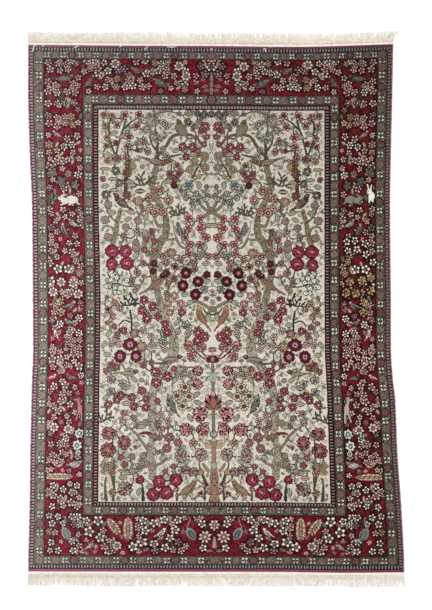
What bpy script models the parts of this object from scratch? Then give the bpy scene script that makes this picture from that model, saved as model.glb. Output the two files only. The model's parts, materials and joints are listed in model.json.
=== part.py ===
"""A hand-knotted Persian rug lying flat, seen with its top end towards +Y.

The pile is one slab with the worn, slightly wavy outline of a rug that has relaxed on the
loom's tension. A wrapped cord closes each long side. At each end the warps first make a
flat-woven band and then hang out as a fringe of cut locks, which lie on the floor.
"""

import math
import random
from collections import namedtuple

import bmesh
import bpy
from mathutils import Vector

# Driving dimensions, in metres. Sideways distances are from the woven centre line.
PILE_THICKNESS = 0.0070
PILE_UNEVENNESS = 0.0004
RIM_WIDTH = 0.0060
RIM_DROP = 0.0014
CORD_DIAMETER = 0.0060
END_CLOTH_THICKNESS = 0.0026
GAP = 0.0003

SidePoint = namedtuple("SidePoint", "up left right")
SIDES = (
    SidePoint(0.000, 0.715, 0.751),
    SidePoint(0.064, 0.714, 0.750),
    SidePoint(0.279, 0.709, 0.738),
    SidePoint(0.454, 0.707, 0.725),
    SidePoint(0.669, 0.702, 0.716),
    SidePoint(0.747, 0.700, 0.707),
    SidePoint(0.844, 0.696, 0.700),
    SidePoint(1.059, 0.697, 0.699),
    SidePoint(1.234, 0.698, 0.697),
    SidePoint(1.449, 0.701, 0.696),
    SidePoint(1.624, 0.709, 0.699),
    SidePoint(1.839, 0.715, 0.704),
    SidePoint(2.048, 0.715, 0.708),
)
PILE_LENGTH = SIDES[-1].up

# How far each end of the pile runs off a straight line, up being positive.
EndPoint = namedtuple("EndPoint", "across rise")
TOP_RISE = (
    EndPoint(-0.715, 0.0050),
    EndPoint(-0.300, 0.0015),
    EndPoint(0.020, 0.0000),
    EndPoint(0.360, -0.0028),
    EndPoint(0.708, 0.0075),
)
BOTTOM_RISE = (
    EndPoint(-0.715, 0.0022),
    EndPoint(-0.200, 0.0008),
    EndPoint(0.275, 0.0000),
    EndPoint(0.500, -0.0033),
    EndPoint(0.751, -0.0015),
)

# The ends: which way the locks point, the band's depth, the locks' length and their spread.
End = namedtuple("End", "name outward band lock spread_left spread_right seed")
TOP_END = End("fringe_top", 1, 0.0190, 0.0360, 0.008, 0.022, 11)
BOTTOM_END = End("fringe_bottom", -1, 0.0200, 0.0410, 0.010, 0.009, 12)

LOCKS = 148
LOCK_ROOT_SHARE = 0.76
LOCK_TIP_SHARE = 0.50
LOCK_TIP_THICKNESS = 0.0018
LOCK_LENGTH_CHANGE = 0.10
LOCK_WAVE = 0.0034
LOCK_WAVE_PITCH = 0.150
LOCK_STRAY = 0.0008
SPREAD_REACH = 0.070

GRID_ACROSS = 24
GRID_ALONG = 34
CORD_RESOLUTION = 2
INNER_POINTS = 25


def through(rows, at):
    """The value at a position, on a smooth curve through rows of (position, value)."""
    last = len(rows) - 1
    at = min(max(at, rows[0][0]), rows[last][0])
    low = max(k for k in range(last) if rows[k][0] <= at or k == 0)

    def slope(k):
        before, after = rows[max(k - 1, 0)], rows[min(k + 1, last)]
        return (after[1] - before[1]) / (after[0] - before[0])

    (p0, v0), (p1, v1) = rows[low], rows[low + 1]
    span = p1 - p0
    t = (at - p0) / span
    rise = v0 * (1 + 2 * t) * (1 - t) ** 2 + v1 * (3 - 2 * t) * t**2
    return rise + span * t * (1 - t) * (slope(low) * (1 - t) - slope(low + 1) * t)


LEFT = tuple((row.up, row.left) for row in SIDES)
RIGHT = tuple((row.up, row.right) for row in SIDES)


def edge_point(side, up):
    """A point on the rug's outer edge: side is -1 or 1, and up is from the bottom end."""
    across = side * through(LEFT if side < 0 else RIGHT, up)
    return across, height_along(across, up)


def height_along(across, up):
    """Where a row of knots lies, which starts out straight and ends along the ends' curves."""
    share = up / PILE_LENGTH
    return up + (1 - share) * through(BOTTOM_RISE, across) + share * through(TOP_RISE, across)


def pile_top(across, up):
    """The height of the pile, with the broad unevenness of a used rug."""
    broad = math.sin(5.1 * across + 1.3 * up) * math.cos(3.7 * up - 0.8 * across)
    narrow = 0.5 * math.sin(11.0 * up + 2.0) * math.sin(9.0 * across + 0.5)
    return PILE_THICKNESS + PILE_UNEVENNESS * (broad + narrow)


def line_share(k, count):
    """The place of a grid line, from -1 to 1 for the lines inside the rim and at it."""
    inner = (k - 1) / (count - 2)
    return min(max(2 * inner - 1, -1), 1)


def line_up(k):
    """How far up the rug a crosswise grid line is; the outermost lines are the rims' feet."""
    if k in (0, GRID_ALONG):
        return PILE_LENGTH * k / GRID_ALONG
    return PILE_LENGTH / 2 + line_share(k, GRID_ALONG) * (PILE_LENGTH / 2 - RIM_WIDTH)


def pile_mesh():
    """The slab of knots: a grid bent to the outline, drawn down to a flat underside."""
    work = bmesh.new()
    bmesh.ops.create_grid(work, x_segments=GRID_ACROSS, y_segments=GRID_ALONG, size=1)
    for corner in work.verts:
        column = round((corner.co.x + 1) / 2 * GRID_ACROSS)
        row = round((corner.co.y + 1) / 2 * GRID_ALONG)
        side_rim = column in (0, GRID_ACROSS)
        end_rim = row in (0, GRID_ALONG)
        up = line_up(row)
        share = line_share(column, GRID_ACROSS)
        inset = CORD_DIAMETER + GAP + (0 if side_rim else RIM_WIDTH)
        across = share * (through(LEFT if share < 0 else RIGHT, up) - inset)
        top = pile_top(across, up) - (RIM_DROP if side_rim or end_rim else 0)
        corner.co = (across, height_along(across, up), top)
    top_faces = work.faces[:]
    made = bmesh.ops.extrude_face_region(work, geom=top_faces, use_keep_orig=True)
    under = [part for part in made["geom"] if isinstance(part, bmesh.types.BMVert)]
    for corner in under:
        corner.co.z = 0
    bmesh.ops.recalc_face_normals(work, faces=work.faces)
    inner_edges = [e for e in work.edges if all(v.co.z == 0 for v in e.verts)]
    bmesh.ops.dissolve_limit(work, angle_limit=math.radians(0.05), edges=inner_edges, verts=[])
    mesh = bpy.data.meshes.new("rug_pile")
    work.to_mesh(mesh)
    work.free()
    return mesh


def make_pile(collection):
    rug = bpy.data.objects.new("rug_pile", pile_mesh())
    collection.objects.link(rug)
    rug.data.materials.append(fabric("knotted_wool", (0.30, 0.13, 0.11), 0.90))
    return rug


def make_side_cord(collection, name, side):
    """A wrapped cord along one long side, lying on the floor."""
    radius = CORD_DIAMETER / 2
    curve = bpy.data.curves.new(name, "CURVE")
    curve.dimensions = "3D"
    curve.bevel_depth = radius
    curve.bevel_resolution = CORD_RESOLUTION
    curve.use_fill_caps = True
    line = curve.splines.new("POLY")
    line.points.add(GRID_ALONG)
    for k, point in enumerate(line.points):
        across, y = edge_point(side, line_up(k))
        point.co = (across - side * radius, y, radius, 1)
    cord = bpy.data.objects.new(name, curve)
    collection.objects.link(cord)
    curve.materials.append(fabric(name + "_wool", (0.16, 0.05, 0.07), 0.85))
    return cord


def lock_lean(end, across, left, right, chance):
    """How far a lock's tip lies to the side of its root."""
    wave = LOCK_WAVE * math.sin(2 * math.pi * across / LOCK_WAVE_PITCH + end.seed)
    to_left = end.spread_left * math.exp(-(across - left) / SPREAD_REACH)
    to_right = end.spread_right * math.exp(-(right - across) / SPREAD_REACH)
    return wave + chance.uniform(-LOCK_STRAY, LOCK_STRAY) - to_left + to_right


def fringe_outline(end):
    """The band and its locks seen from above, as one closed line of points."""
    chance = random.Random(end.seed)
    up = PILE_LENGTH if end.outward > 0 else 0
    left, right = -through(LEFT, up), through(RIGHT, up)
    pitch = (right - left) / LOCKS

    def y_out(across, distance):
        return height_along(across, up) + end.outward * (GAP + distance)

    points = []
    for k in range(LOCKS):
        middle = left + pitch * (k + 0.5)
        lean = lock_lean(end, middle, left, right, chance)
        slow = math.sin(2 * math.pi * middle / 0.53 + end.seed)
        change = LOCK_LENGTH_CHANGE * (0.45 * slow + 0.55 * chance.uniform(-1, 1))
        length = end.lock * (1 - LOCK_LENGTH_CHANGE + change)
        root, tip = pitch * LOCK_ROOT_SHARE / 2, pitch * LOCK_TIP_SHARE / 2
        waist = (root + tip) / 2
        steps = ((-root, 0, 0), (-waist, 0.5, 0.35), (-tip, 1, 1))
        for sideways, out, bend in steps + tuple((-s, o, b) for s, o, b in reversed(steps)):
            x = middle + sideways + lean * bend
            points.append((x, y_out(middle + sideways, end.band + length * out)))
    for k in range(INNER_POINTS):
        across = right + (left - right) * k / (INNER_POINTS - 1)
        points.append((across, y_out(across, 0)))
    return points


def make_fringe(collection, end):
    """A band with its locks: a flat outline with thickness, its locks thinning to the tips."""
    curve = bpy.data.curves.new(end.name, "CURVE")
    curve.dimensions = "2D"
    curve.fill_mode = "BOTH"
    curve.extrude = END_CLOTH_THICKNESS / 2
    outline = fringe_outline(end)
    line = curve.splines.new("POLY")
    line.points.add(len(outline) - 1)
    for point, (x, y) in zip(line.points, outline):
        point.co = (x, y, 0, 1)
    line.use_cyclic_u = True
    flat = bpy.data.objects.new(end.name + "_outline", curve)
    collection.objects.link(flat)
    bpy.context.view_layer.update()
    graph = bpy.context.evaluated_depsgraph_get()
    mesh = bpy.data.meshes.new_from_object(flat.evaluated_get(graph), depsgraph=graph)
    bpy.data.objects.remove(flat)

    work = bmesh.new()
    work.from_mesh(mesh)
    bmesh.ops.remove_doubles(work, verts=work.verts, dist=0.00001)
    start = PILE_LENGTH if end.outward > 0 else 0
    for corner in work.verts:
        out = end.outward * (corner.co.y - height_along(corner.co.x, start)) - GAP - end.band
        thin = min(max(out / end.lock, 0), 1)
        thickness = END_CLOTH_THICKNESS + thin * (LOCK_TIP_THICKNESS - END_CLOTH_THICKNESS)
        corner.co.z = thickness if corner.co.z > 0 else 0
    bmesh.ops.recalc_face_normals(work, faces=work.faces)
    work.to_mesh(mesh)
    work.free()
    fringe = bpy.data.objects.new(end.name, mesh)
    collection.objects.link(fringe)
    mesh.materials.append(fabric(end.name + "_cotton", (0.78, 0.73, 0.62), 0.90))
    return fringe


def fabric(name, colour, roughness):
    """A plain cloth finish."""
    material = bpy.data.materials.new(name)
    material.use_nodes = True
    shader = material.node_tree.nodes["Principled BSDF"]
    shader.inputs["Base Color"].default_value = (*colour, 1)
    shader.inputs["Roughness"].default_value = roughness
    shader.inputs["Metallic"].default_value = 0
    return material


def stand_on_origin(pieces):
    """Puts the middle of the rug's box on the origin; the underside is already at zero."""
    bpy.context.view_layer.update()
    corners = [piece.matrix_world @ Vector(c) for piece in pieces for c in piece.bound_box]
    middle_x = (min(c.x for c in corners) + max(c.x for c in corners)) / 2
    middle_y = (min(c.y for c in corners) + max(c.y for c in corners)) / 2
    for piece in pieces:
        piece.location = (-middle_x, -middle_y, 0)


def main():
    for old in list(bpy.data.objects):
        bpy.data.objects.remove(old)
    rug = bpy.data.collections.new("persian_rug")
    bpy.context.scene.collection.children.link(rug)
    pieces = [
        make_pile(rug),
        make_side_cord(rug, "selvedge_left", -1),
        make_side_cord(rug, "selvedge_right", 1),
        make_fringe(rug, TOP_END),
        make_fringe(rug, BOTTOM_END),
    ]
    stand_on_origin(pieces)


main()
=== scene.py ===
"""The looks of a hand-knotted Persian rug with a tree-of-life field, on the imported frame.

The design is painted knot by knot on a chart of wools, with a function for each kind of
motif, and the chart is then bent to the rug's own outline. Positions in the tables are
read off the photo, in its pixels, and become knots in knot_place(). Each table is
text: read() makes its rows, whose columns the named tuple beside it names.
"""

import json
import math
import random
from collections import namedtuple

import bpy
import numpy as np
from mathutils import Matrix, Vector

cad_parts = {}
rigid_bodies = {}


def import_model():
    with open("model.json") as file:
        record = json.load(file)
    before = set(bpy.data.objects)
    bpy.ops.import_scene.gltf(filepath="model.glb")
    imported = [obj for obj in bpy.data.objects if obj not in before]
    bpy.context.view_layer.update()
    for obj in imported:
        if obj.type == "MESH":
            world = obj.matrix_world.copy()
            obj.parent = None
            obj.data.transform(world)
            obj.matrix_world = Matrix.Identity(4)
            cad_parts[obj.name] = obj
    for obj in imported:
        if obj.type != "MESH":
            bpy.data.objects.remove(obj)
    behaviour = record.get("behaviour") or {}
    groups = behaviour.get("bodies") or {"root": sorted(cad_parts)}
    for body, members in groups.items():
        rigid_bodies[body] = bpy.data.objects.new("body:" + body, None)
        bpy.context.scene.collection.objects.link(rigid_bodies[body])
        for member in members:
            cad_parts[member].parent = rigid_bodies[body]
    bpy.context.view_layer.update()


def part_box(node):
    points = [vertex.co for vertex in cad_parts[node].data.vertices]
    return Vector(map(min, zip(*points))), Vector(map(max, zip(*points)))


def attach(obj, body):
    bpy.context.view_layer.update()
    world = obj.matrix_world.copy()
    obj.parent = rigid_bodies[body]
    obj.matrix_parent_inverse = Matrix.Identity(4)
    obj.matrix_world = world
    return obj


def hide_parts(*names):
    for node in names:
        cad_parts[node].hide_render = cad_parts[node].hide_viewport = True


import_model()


def value(word):
    """A table's word as a number, if it is one. A dash stands for nothing."""
    if word == "-":
        return None
    if word.lstrip("-").isdigit():
        return int(word)
    return float(word) if word[-1].isdigit() else word


def read(kind, table):
    """A text table's rows: words, and after a colon the places. Indented lines run on."""
    rows = []
    for line in table.strip().replace("\n  ", " ").splitlines():
        if line.startswith("#"):
            continue
        words, colon, places = line.partition(":")
        fields = [value(word) for word in words.split()]
        if colon:
            fields.append([tuple(map(value, place.split(","))) for place in places.split()])
        rows.append(kind(*fields))
    return rows


# ---- the rug's own sizes (m)
PILE_THICKNESS = 0.0070
PILE_UNEVENNESS = 0.0004
RIM_DROP = 0.0014
CORD_DIAMETER = 0.0060
END_CLOTH_THICKNESS = 0.0026
GAP = 0.0003

SidePoint = namedtuple("SidePoint", "up left right")
SIDES = read(SidePoint, """
0.000 0.715 0.751
0.064 0.714 0.750
0.279 0.709 0.738
0.454 0.707 0.725
0.669 0.702 0.716
0.747 0.700 0.707
0.844 0.696 0.700
1.059 0.697 0.699
1.234 0.698 0.697
1.449 0.701 0.696
1.624 0.709 0.699
1.839 0.715 0.704
2.048 0.715 0.708
""")
PILE_LENGTH = SIDES[-1].up
LEFT = tuple((row.up, row.left) for row in SIDES)
RIGHT = tuple((row.up, row.right) for row in SIDES)

EndPoint = namedtuple("EndPoint", "across rise")
TOP_RISE = (
    EndPoint(-0.715, 0.0050),
    EndPoint(-0.300, 0.0015),
    EndPoint(0.020, 0.0000),
    EndPoint(0.360, -0.0028),
    EndPoint(0.708, 0.0075),
)
BOTTOM_RISE = (
    EndPoint(-0.715, 0.0022),
    EndPoint(-0.200, 0.0008),
    EndPoint(0.275, 0.0000),
    EndPoint(0.500, -0.0033),
    EndPoint(0.751, -0.0015),
)

End = namedtuple("End", "name outward band lock spread_left spread_right seed")
TOP_END = End("fringe_top", 1, 0.0190, 0.0360, 0.008, 0.022, 11)
BOTTOM_END = End("fringe_bottom", -1, 0.0200, 0.0410, 0.010, 0.009, 12)
LOCKS = 148
LOCK_LENGTH_CHANGE = 0.10
LOCK_WAVE = 0.0034
LOCK_WAVE_PITCH = 0.150
LOCK_STRAY = 0.0008
SPREAD_REACH = 0.070

# ---- the chart of knots
BOTTOM_BORDER = 139
FIELD_ROWS = 783
TOP_BORDER = 128
ROWS = BOTTOM_BORDER + FIELD_ROWS + TOP_BORDER
SIDE_BORDER = 138
HALF_FIELD = 226
CENTRE = SIDE_BORDER + HALF_FIELD
COLUMNS = 2 * CENTRE + 1
FACE_KNOTS = 3

# Where the photo shows the rug: metres a pixel, the woven centre line, the pile's bottom end
# and the field's bottom end.
PIXEL = 0.0039
PHOTO_CENTRE = 211.5
PHOTO_PILE_FOOT = 571.5
PHOTO_FIELD_FOOT = 502.0
KNOTS_PER_PIXEL = 2.0

# The field's two long edges in the photo, which lean as the rug does.
FieldEdge = namedtuple("FieldEdge", "down left right")
FIELD_EDGES = read(FieldEdge, """
100 98.7 324.3
200 98.7 324.3
300 100.8 324.3
355 100.3 324.8
390 99.5 326.7
455 98.8 329
500 98.5 330.3
""")

# ---- wools, in screen colours
Wool = namedtuple("Wool", "name red green blue")
WOOLS = read(Wool, """
ivory 214 207 194
cream 222 200 182
white 234 232 220
sand 182 166 142
tan 156 132 106
camel 132 108 82
bark 130 119 97
bark_light 150 144 127
olive 88 82 60
moss 70 74 58
leaf 126 134 108
pale_leaf 168 176 150
sea 110 130 122
slate 84 88 100
blue 84 98 120
haze 152 146 142
mauve 134 100 108
plum 84 50 62
pink 208 162 156
blush 166 114 108
rose 146 82 90
crimson 118 42 58
red 126 18 38
ruby 96 22 38
wine 66 20 30
rust 130 74 58
orange 160 104 80
gold 176 148 94
yellow 196 180 130
brown 86 58 46
dark 42 32 32
pine 52 60 50
taupe 92 82 74
edge 138 88 100
lilac 172 144 156
dusty 146 88 84
ash 97 88 80
rosy 130 106 104
dim 160 140 138
stalk 84 78 62
maroon 58 22 32
poppy 142 44 68
umber 108 84 64
ice 196 208 204
shell 216 188 178
fawn 184 172 162
""")
NAMES = {wool.name: index for index, wool in enumerate(WOOLS)}


def through(rows, at):
    """The value at a position, on a smooth curve through rows of (position, value)."""
    last = len(rows) - 1
    at = min(max(at, rows[0][0]), rows[last][0])
    low = max(k for k in range(last) if rows[k][0] <= at or k == 0)

    def slope(k):
        before, after = rows[max(k - 1, 0)], rows[min(k + 1, last)]
        return (after[1] - before[1]) / (after[0] - before[0])

    (p0, v0), (p1, v1) = rows[low], rows[low + 1]
    span = p1 - p0
    t = (at - p0) / span
    rise = v0 * (1 + 2 * t) * (1 - t) ** 2 + v1 * (3 - 2 * t) * t**2
    return rise + span * t * (1 - t) * (slope(low) * (1 - t) - slope(low + 1) * t)


def height_along(across, up):
    share = up / PILE_LENGTH
    return up + (1 - share) * through(BOTTOM_RISE, across) + share * through(TOP_RISE, across)


def pile_top(across, up):
    broad = math.sin(5.1 * across + 1.3 * up) * math.cos(3.7 * up - 0.8 * across)
    narrow = 0.5 * math.sin(11.0 * up + 2.0) * math.sin(9.0 * across + 0.5)
    return PILE_THICKNESS + PILE_UNEVENNESS * (broad + narrow)


def field_edges(down):
    downs = [row.down for row in FIELD_EDGES]
    left = float(np.interp(down, downs, [row.left for row in FIELD_EDGES]))
    right = float(np.interp(down, downs, [row.right for row in FIELD_EDGES]))
    return left, right


def pile_edges(down):
    """The pile's two edges in the photo, inside the wrapped cords."""
    up = (PHOTO_PILE_FOOT - down) * PIXEL
    inset = CORD_DIAMETER + GAP
    left = PHOTO_CENTRE - (through(LEFT, up) - inset) / PIXEL
    right = PHOTO_CENTRE + (through(RIGHT, up) - inset) / PIXEL
    return left, right


def knot_place(spot):
    """The column and row of the chart for a place in the photo."""
    across, down = spot
    left, right = field_edges(down)
    middle = (left + right) / 2
    outer = pile_edges(down)
    if across < left:
        column = SIDE_BORDER * (across - outer[0]) / (left - outer[0])
    elif across <= right:
        column = CENTRE + HALF_FIELD * (across - middle) / (right - middle)
    else:
        column = COLUMNS - 1 - SIDE_BORDER * (outer[1] - across) / (outer[1] - right)
    return column, BOTTOM_BORDER + (PHOTO_FIELD_FOOT - down) * KNOTS_PER_PIXEL


def place_of(row):
    return knot_place((row.across, row.down))


# ---- laying knots
def smooth_noise(shape, cell, chance):
    """Soft random values from -1 to 1 that change over a cell of so many knots."""
    rows, columns = shape[0] // cell + 3, shape[1] // cell + 3
    coarse = chance.uniform(-1, 1, (rows, columns))
    r = np.arange(shape[0]) / cell
    c = np.arange(shape[1]) / cell
    r0, c0 = r.astype(int), c.astype(int)
    tr, tc = (r - r0)[:, None], (c - c0)[None, :]
    tr, tc = tr * tr * (3 - 2 * tr), tc * tc * (3 - 2 * tc)
    low = coarse[r0][:, c0] * (1 - tc) + coarse[r0][:, c0 + 1] * tc
    high = coarse[r0 + 1][:, c0] * (1 - tc) + coarse[r0 + 1][:, c0 + 1] * tc
    return low * (1 - tr) + high * tr


HALF_WIDTH = CENTRE + 30
SPECKLE = smooth_noise((ROWS, HALF_WIDTH), 2, np.random.default_rng(3))
BLOTCH = smooth_noise((ROWS, HALF_WIDTH), 5, np.random.default_rng(4))
FLECK = np.random.default_rng(5).random((ROWS, HALF_WIDTH))


def window(chart, place, reach):
    """A part of the chart round a place, with each knot's offset across and up from it."""
    (column, row), (rows, columns) = place, chart.shape
    r0, r1 = max(int(row - reach), 0), min(int(row + reach) + 2, rows)
    c0, c1 = max(int(column - reach), 0), min(int(column + reach) + 2, columns)
    r1, c1 = max(r0, r1), max(c0, c1)
    up, across = np.mgrid[r0:r1, c0:c1]
    return chart[r0:r1, c0:c1], across - column, up - row


def lay(patch, mask, wool, line=None, thick=1):
    """Knots a shape in one wool, with a line of another round it, so many knots thick."""
    if line:
        wide = mask.copy()
        for _ in range(thick):
            inner = wide.copy()
            wide[1:] |= inner[:-1]
            wide[:-1] |= inner[1:]
            wide[:, 1:] |= inner[:, :-1]
            wide[:, :-1] |= inner[:, 1:]
        patch[wide] = NAMES[line]
    patch[mask] = NAMES[wool]


Bloom = namedtuple("Bloom", "name petals depth petal tip heart eye line mottle")
BLOOMS = {bloom.name: bloom for bloom in read(Bloom, """
# on the ivory field
blush 5 0.34 dusty pink maroon rosy brown -
bell 3 0.4 crimson rust wine rose brown -
slate 6 0.4 taupe haze slate sand dark -
haze 6 0.4 haze sand stalk haze taupe -
hazegreen 6 0.4 leaf ivory moss ivory moss -
dots 4 0.5 haze pale_leaf slate ivory moss -
mottle 8 0.3 rosy cream plum sand brown netted
plum 5 0.34 mauve blush plum rose plum -
crimson 5 0.34 crimson blush rose pink brown -
ruby 6 0.24 crimson blush rose cream wine -
poppy 7 0.1 poppy rose crimson pink wine folded
rose 5 0.26 rose pink crimson blush brown -
tan 8 0.26 camel sand tan sand stalk -
sun 6 0.34 yellow gold camel sand olive -
fire 7 0.3 rust camel plum haze brown netted
night 7 0.3 plum haze rosy cream dark netted
rosemist 7 0.26 mauve sand dim plum taupe netted
speck 8 0.26 rust sand sand rust brown netted
daisy 8 0.34 orange cream brown cream brown netted
wine 6 0.26 ruby crimson wine rose dark -
bluebell 6 0.46 sea pale_leaf slate haze slate -
frost 6 0.46 white haze slate sand pine -
brown 5 0.3 dusty sand maroon cream brown -
burgundy 8 0.18 wine ruby rose pink dark -
salmon 6 0.24 dusty pink pink cream brown -
pearl 5 0.24 white white haze taupe pine -
trefoil 9 0.16 crimson ruby lilac plum maroon -
misty 6 0.36 haze cream mauve pink plum -
rust 7 0.26 dusty pink dusty rust brown ringed
snow 6 0.36 white haze mauve plum pine -
sunny 8 0.22 sand cream brown rust stalk -
half 7 0.22 dusty pink crimson cream wine ringed
bigred 9 0.22 dusty blush dim tan wine ringed
bigplum 9 0.18 rose pink dim orange wine ringed
dusk 6 0.24 mauve blush rosy pink plum -
bigmist 9 0.26 haze sand mauve plum plum ringed
orange 5 0.3 tan sand rust sand brown -
# on the red borders
cream 5 0.4 pink cream taupe dim maroon -
petal 5 0.42 pink shell crimson cream maroon -
frosty 6 0.3 dim white taupe cream maroon -
snowy 5 0.36 cream white stalk dim maroon -
gilt 6 0.26 sand yellow stalk gold wine ringed
orchid 5 0.34 mauve dim plum cream maroon -
honey 6 0.34 tan sand rust cream brown -
ringed 7 0.24 cream ivory rosy mauve maroon -
ice 7 0.3 ice white sea cream maroon netted
lily 5 0.4 slate gold blue orange dark netted
great 8 0.34 pink cream rosy cream maroon -
# in the guards
blossom 4 0.36 white ivory stalk leaf pine -
rosette 8 0.2 rosy dim mauve blush stalk lattice
rosette_rust 8 0.2 rosy mauve dusty blush dark lattice
""")}


def flower(chart, place, size, name, turn=0.0, squash=1.0):
    """A round flower seen from the front: petals, their tips, a heart and an eye."""
    kind = BLOOMS[name]
    patch, across, up = window(chart, place, size + 4)
    speck = window(SPECKLE, place, size + 4)[0]
    across = across / squash
    angle = np.arctan2(up, across) + turn
    far = np.hypot(across, up) + 0.7 * speck
    lobe = np.cos(kind.petals * angle)
    rim = size * (1 - kind.depth * (1 - lobe) / 2)
    inside = far < rim
    bold = size > 5.5 or kind.petal == "white"
    lay(patch, inside, kind.petal, kind.line, 2 if bold else 1)

    def dye(where, wool):
        patch[inside & where] = NAMES[wool]

    dye(speck > 0.5, kind.tip)
    if kind.mottle == "netted":
        net = np.sin(2.1 * across + turn) * np.sin(2.1 * up + 1.7 * turn)
        dye(net > 0.2, kind.tip)
        dye(net < -0.5, kind.line)
    elif kind.mottle == "ringed":
        outer = far > 0.60 * rim
        inner_lobe = np.cos((kind.petals - 2) * angle + 2.0)
        dye(outer & (far > 0.80 * rim) & (lobe > -0.2), kind.tip)
        dye(outer & (lobe < -0.62), kind.line)
        dye(~outer & (inner_lobe > 0.1), kind.tip)
        dye(~outer & (inner_lobe < -0.6), kind.line)
        dye(np.abs(far - 0.60 * rim) < 0.6, kind.line)
        dye(speck > 0.30, kind.tip)
        dye(speck < -0.36, kind.line)
    elif kind.mottle == "lattice":
        net = np.cos((across + up) * 1.05) * np.cos((across - up) * 1.05)
        dye(net > 0.4, kind.tip)
        dye(net < -0.5, kind.line)
    elif kind.mottle == "folded":
        folds = np.sin(1.15 * far + 2.0 * angle)
        dye((folds > 0.55) & (speck > -0.05) & (far < 0.80 * rim), kind.tip)
        dye((folds > 0.80) & (far < 0.45 * rim), kind.eye)
        dye((folds < -0.55) & (speck < 0.10), kind.line)
    else:
        dye((far > 0.62 * rim) & (lobe > 0.2), kind.tip)
        if size > 4.5:
            dye((lobe < kind.depth - 0.92) & (far > 0.36 * size), kind.line)
    heart = 0.42 if kind.mottle in (None, "netted") else 0.24
    lay(patch, far < heart * size, kind.heart, kind.line if size > 6.0 else None)
    patch[far < max(0.17 * size, 0.8)] = NAMES[kind.eye]


def step(place, angle, far):
    """The place so far from another at an angle in degrees."""
    turn = math.radians(angle)
    return place[0] + math.cos(turn) * far, place[1] + math.sin(turn) * far


def turned(across, up, angle):
    """Offsets along an angle in degrees, and to its left."""
    turn = math.radians(angle)
    return (across * math.cos(turn) + up * math.sin(turn),
            up * math.cos(turn) - across * math.sin(turn))


def oval(along, side, at_along, at_side, half_length, half_width):
    return ((along - at_along) / half_length) ** 2 + ((side - at_side) / half_width) ** 2 < 1


def strip(along, side, x0, y0, x1, y1, half):
    """The knots within half a width of a straight line."""
    run = (x1 - x0, y1 - y0)
    t = ((along - x0) * run[0] + (side - y0) * run[1]) / (run[0] ** 2 + run[1] ** 2)
    t = np.clip(t, 0, 1)
    return np.hypot(along - x0 - t * run[0], side - y0 - t * run[1]) < half


def leaf(chart, place, length, width, angle, wool, line, vein=None, thick=1):
    """A pointed leaf or bud along an angle."""
    patch, across, up = window(chart, place, length / 2 + 3)
    along, side = turned(across, up, angle)
    share = np.clip(1 - (2 * along / length) ** 2, 0, 1)
    inside = (np.abs(side) < width / 2 * share**0.7) & (share > 0)
    lay(patch, inside, wool, line, thick)
    if vein and width > 5:
        patch[(np.abs(side) < 0.6) & (np.abs(along) < 0.36 * length)] = NAMES[vein]


BEND_STEPS = 5


def bend(points):
    """A smooth line through points of (column, row, width)."""
    points = [np.array(point, float) for point in points]
    if len(points) < 3:
        return points
    smooth = []
    for k in range(len(points) - 1):
        before, after = points[max(k - 1, 0)], points[min(k + 2, len(points) - 1)]
        start, stop = points[k], points[k + 1]
        for part in range(BEND_STEPS):
            t = part / BEND_STEPS
            smooth.append(0.5 * ((2 * start) + (stop - before) * t
                                 + (2 * before - 5 * start + 4 * stop - after) * t**2
                                 + (3 * start - before - 3 * stop + after) * t**3))
    return smooth + [points[-1]]


def stem(chart, points, wool, line=None, grain=None):
    """A stem, branch or trunk: a smooth line whose width changes, with bark if it is wide."""
    route = bend(points)
    for dye, extra in ((line, 1.0), (wool, 0.0)):
        if dye is None:
            continue
        for a, b in zip(route, route[1:]):
            middle, run = ((a + b) / 2)[:2], b - a
            reach = math.hypot(run[0], run[1]) / 2 + max(a[2], b[2]) / 2 + 2
            patch, across, up = window(chart, middle, reach)
            length = run[0] ** 2 + run[1] ** 2 or 1
            t = np.clip((across * run[0] + up * run[1]) / length + 0.5, 0, 1) - 0.5
            far = np.hypot(across - t * run[0], up - t * run[1])
            half = a[2] / 2 + (b[2] - a[2]) / 2 * (t + 0.5) + extra
            if grain:
                half = half * (1 + 0.14 * window(BLOTCH, middle, reach)[0])
            inside = far < np.maximum(half, 0.62)
            patch[inside] = NAMES[dye]
            if grain and not extra:
                speck = window(SPECKLE, middle, reach)[0]
                patch[inside & (speck > 0.28)] = NAMES[grain[0]]
                patch[inside & (speck < -0.38)] = NAMES[grain[1]]


BIRD_SHARE = 0.9  # the share of a bird's length in the table that its body takes


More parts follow.
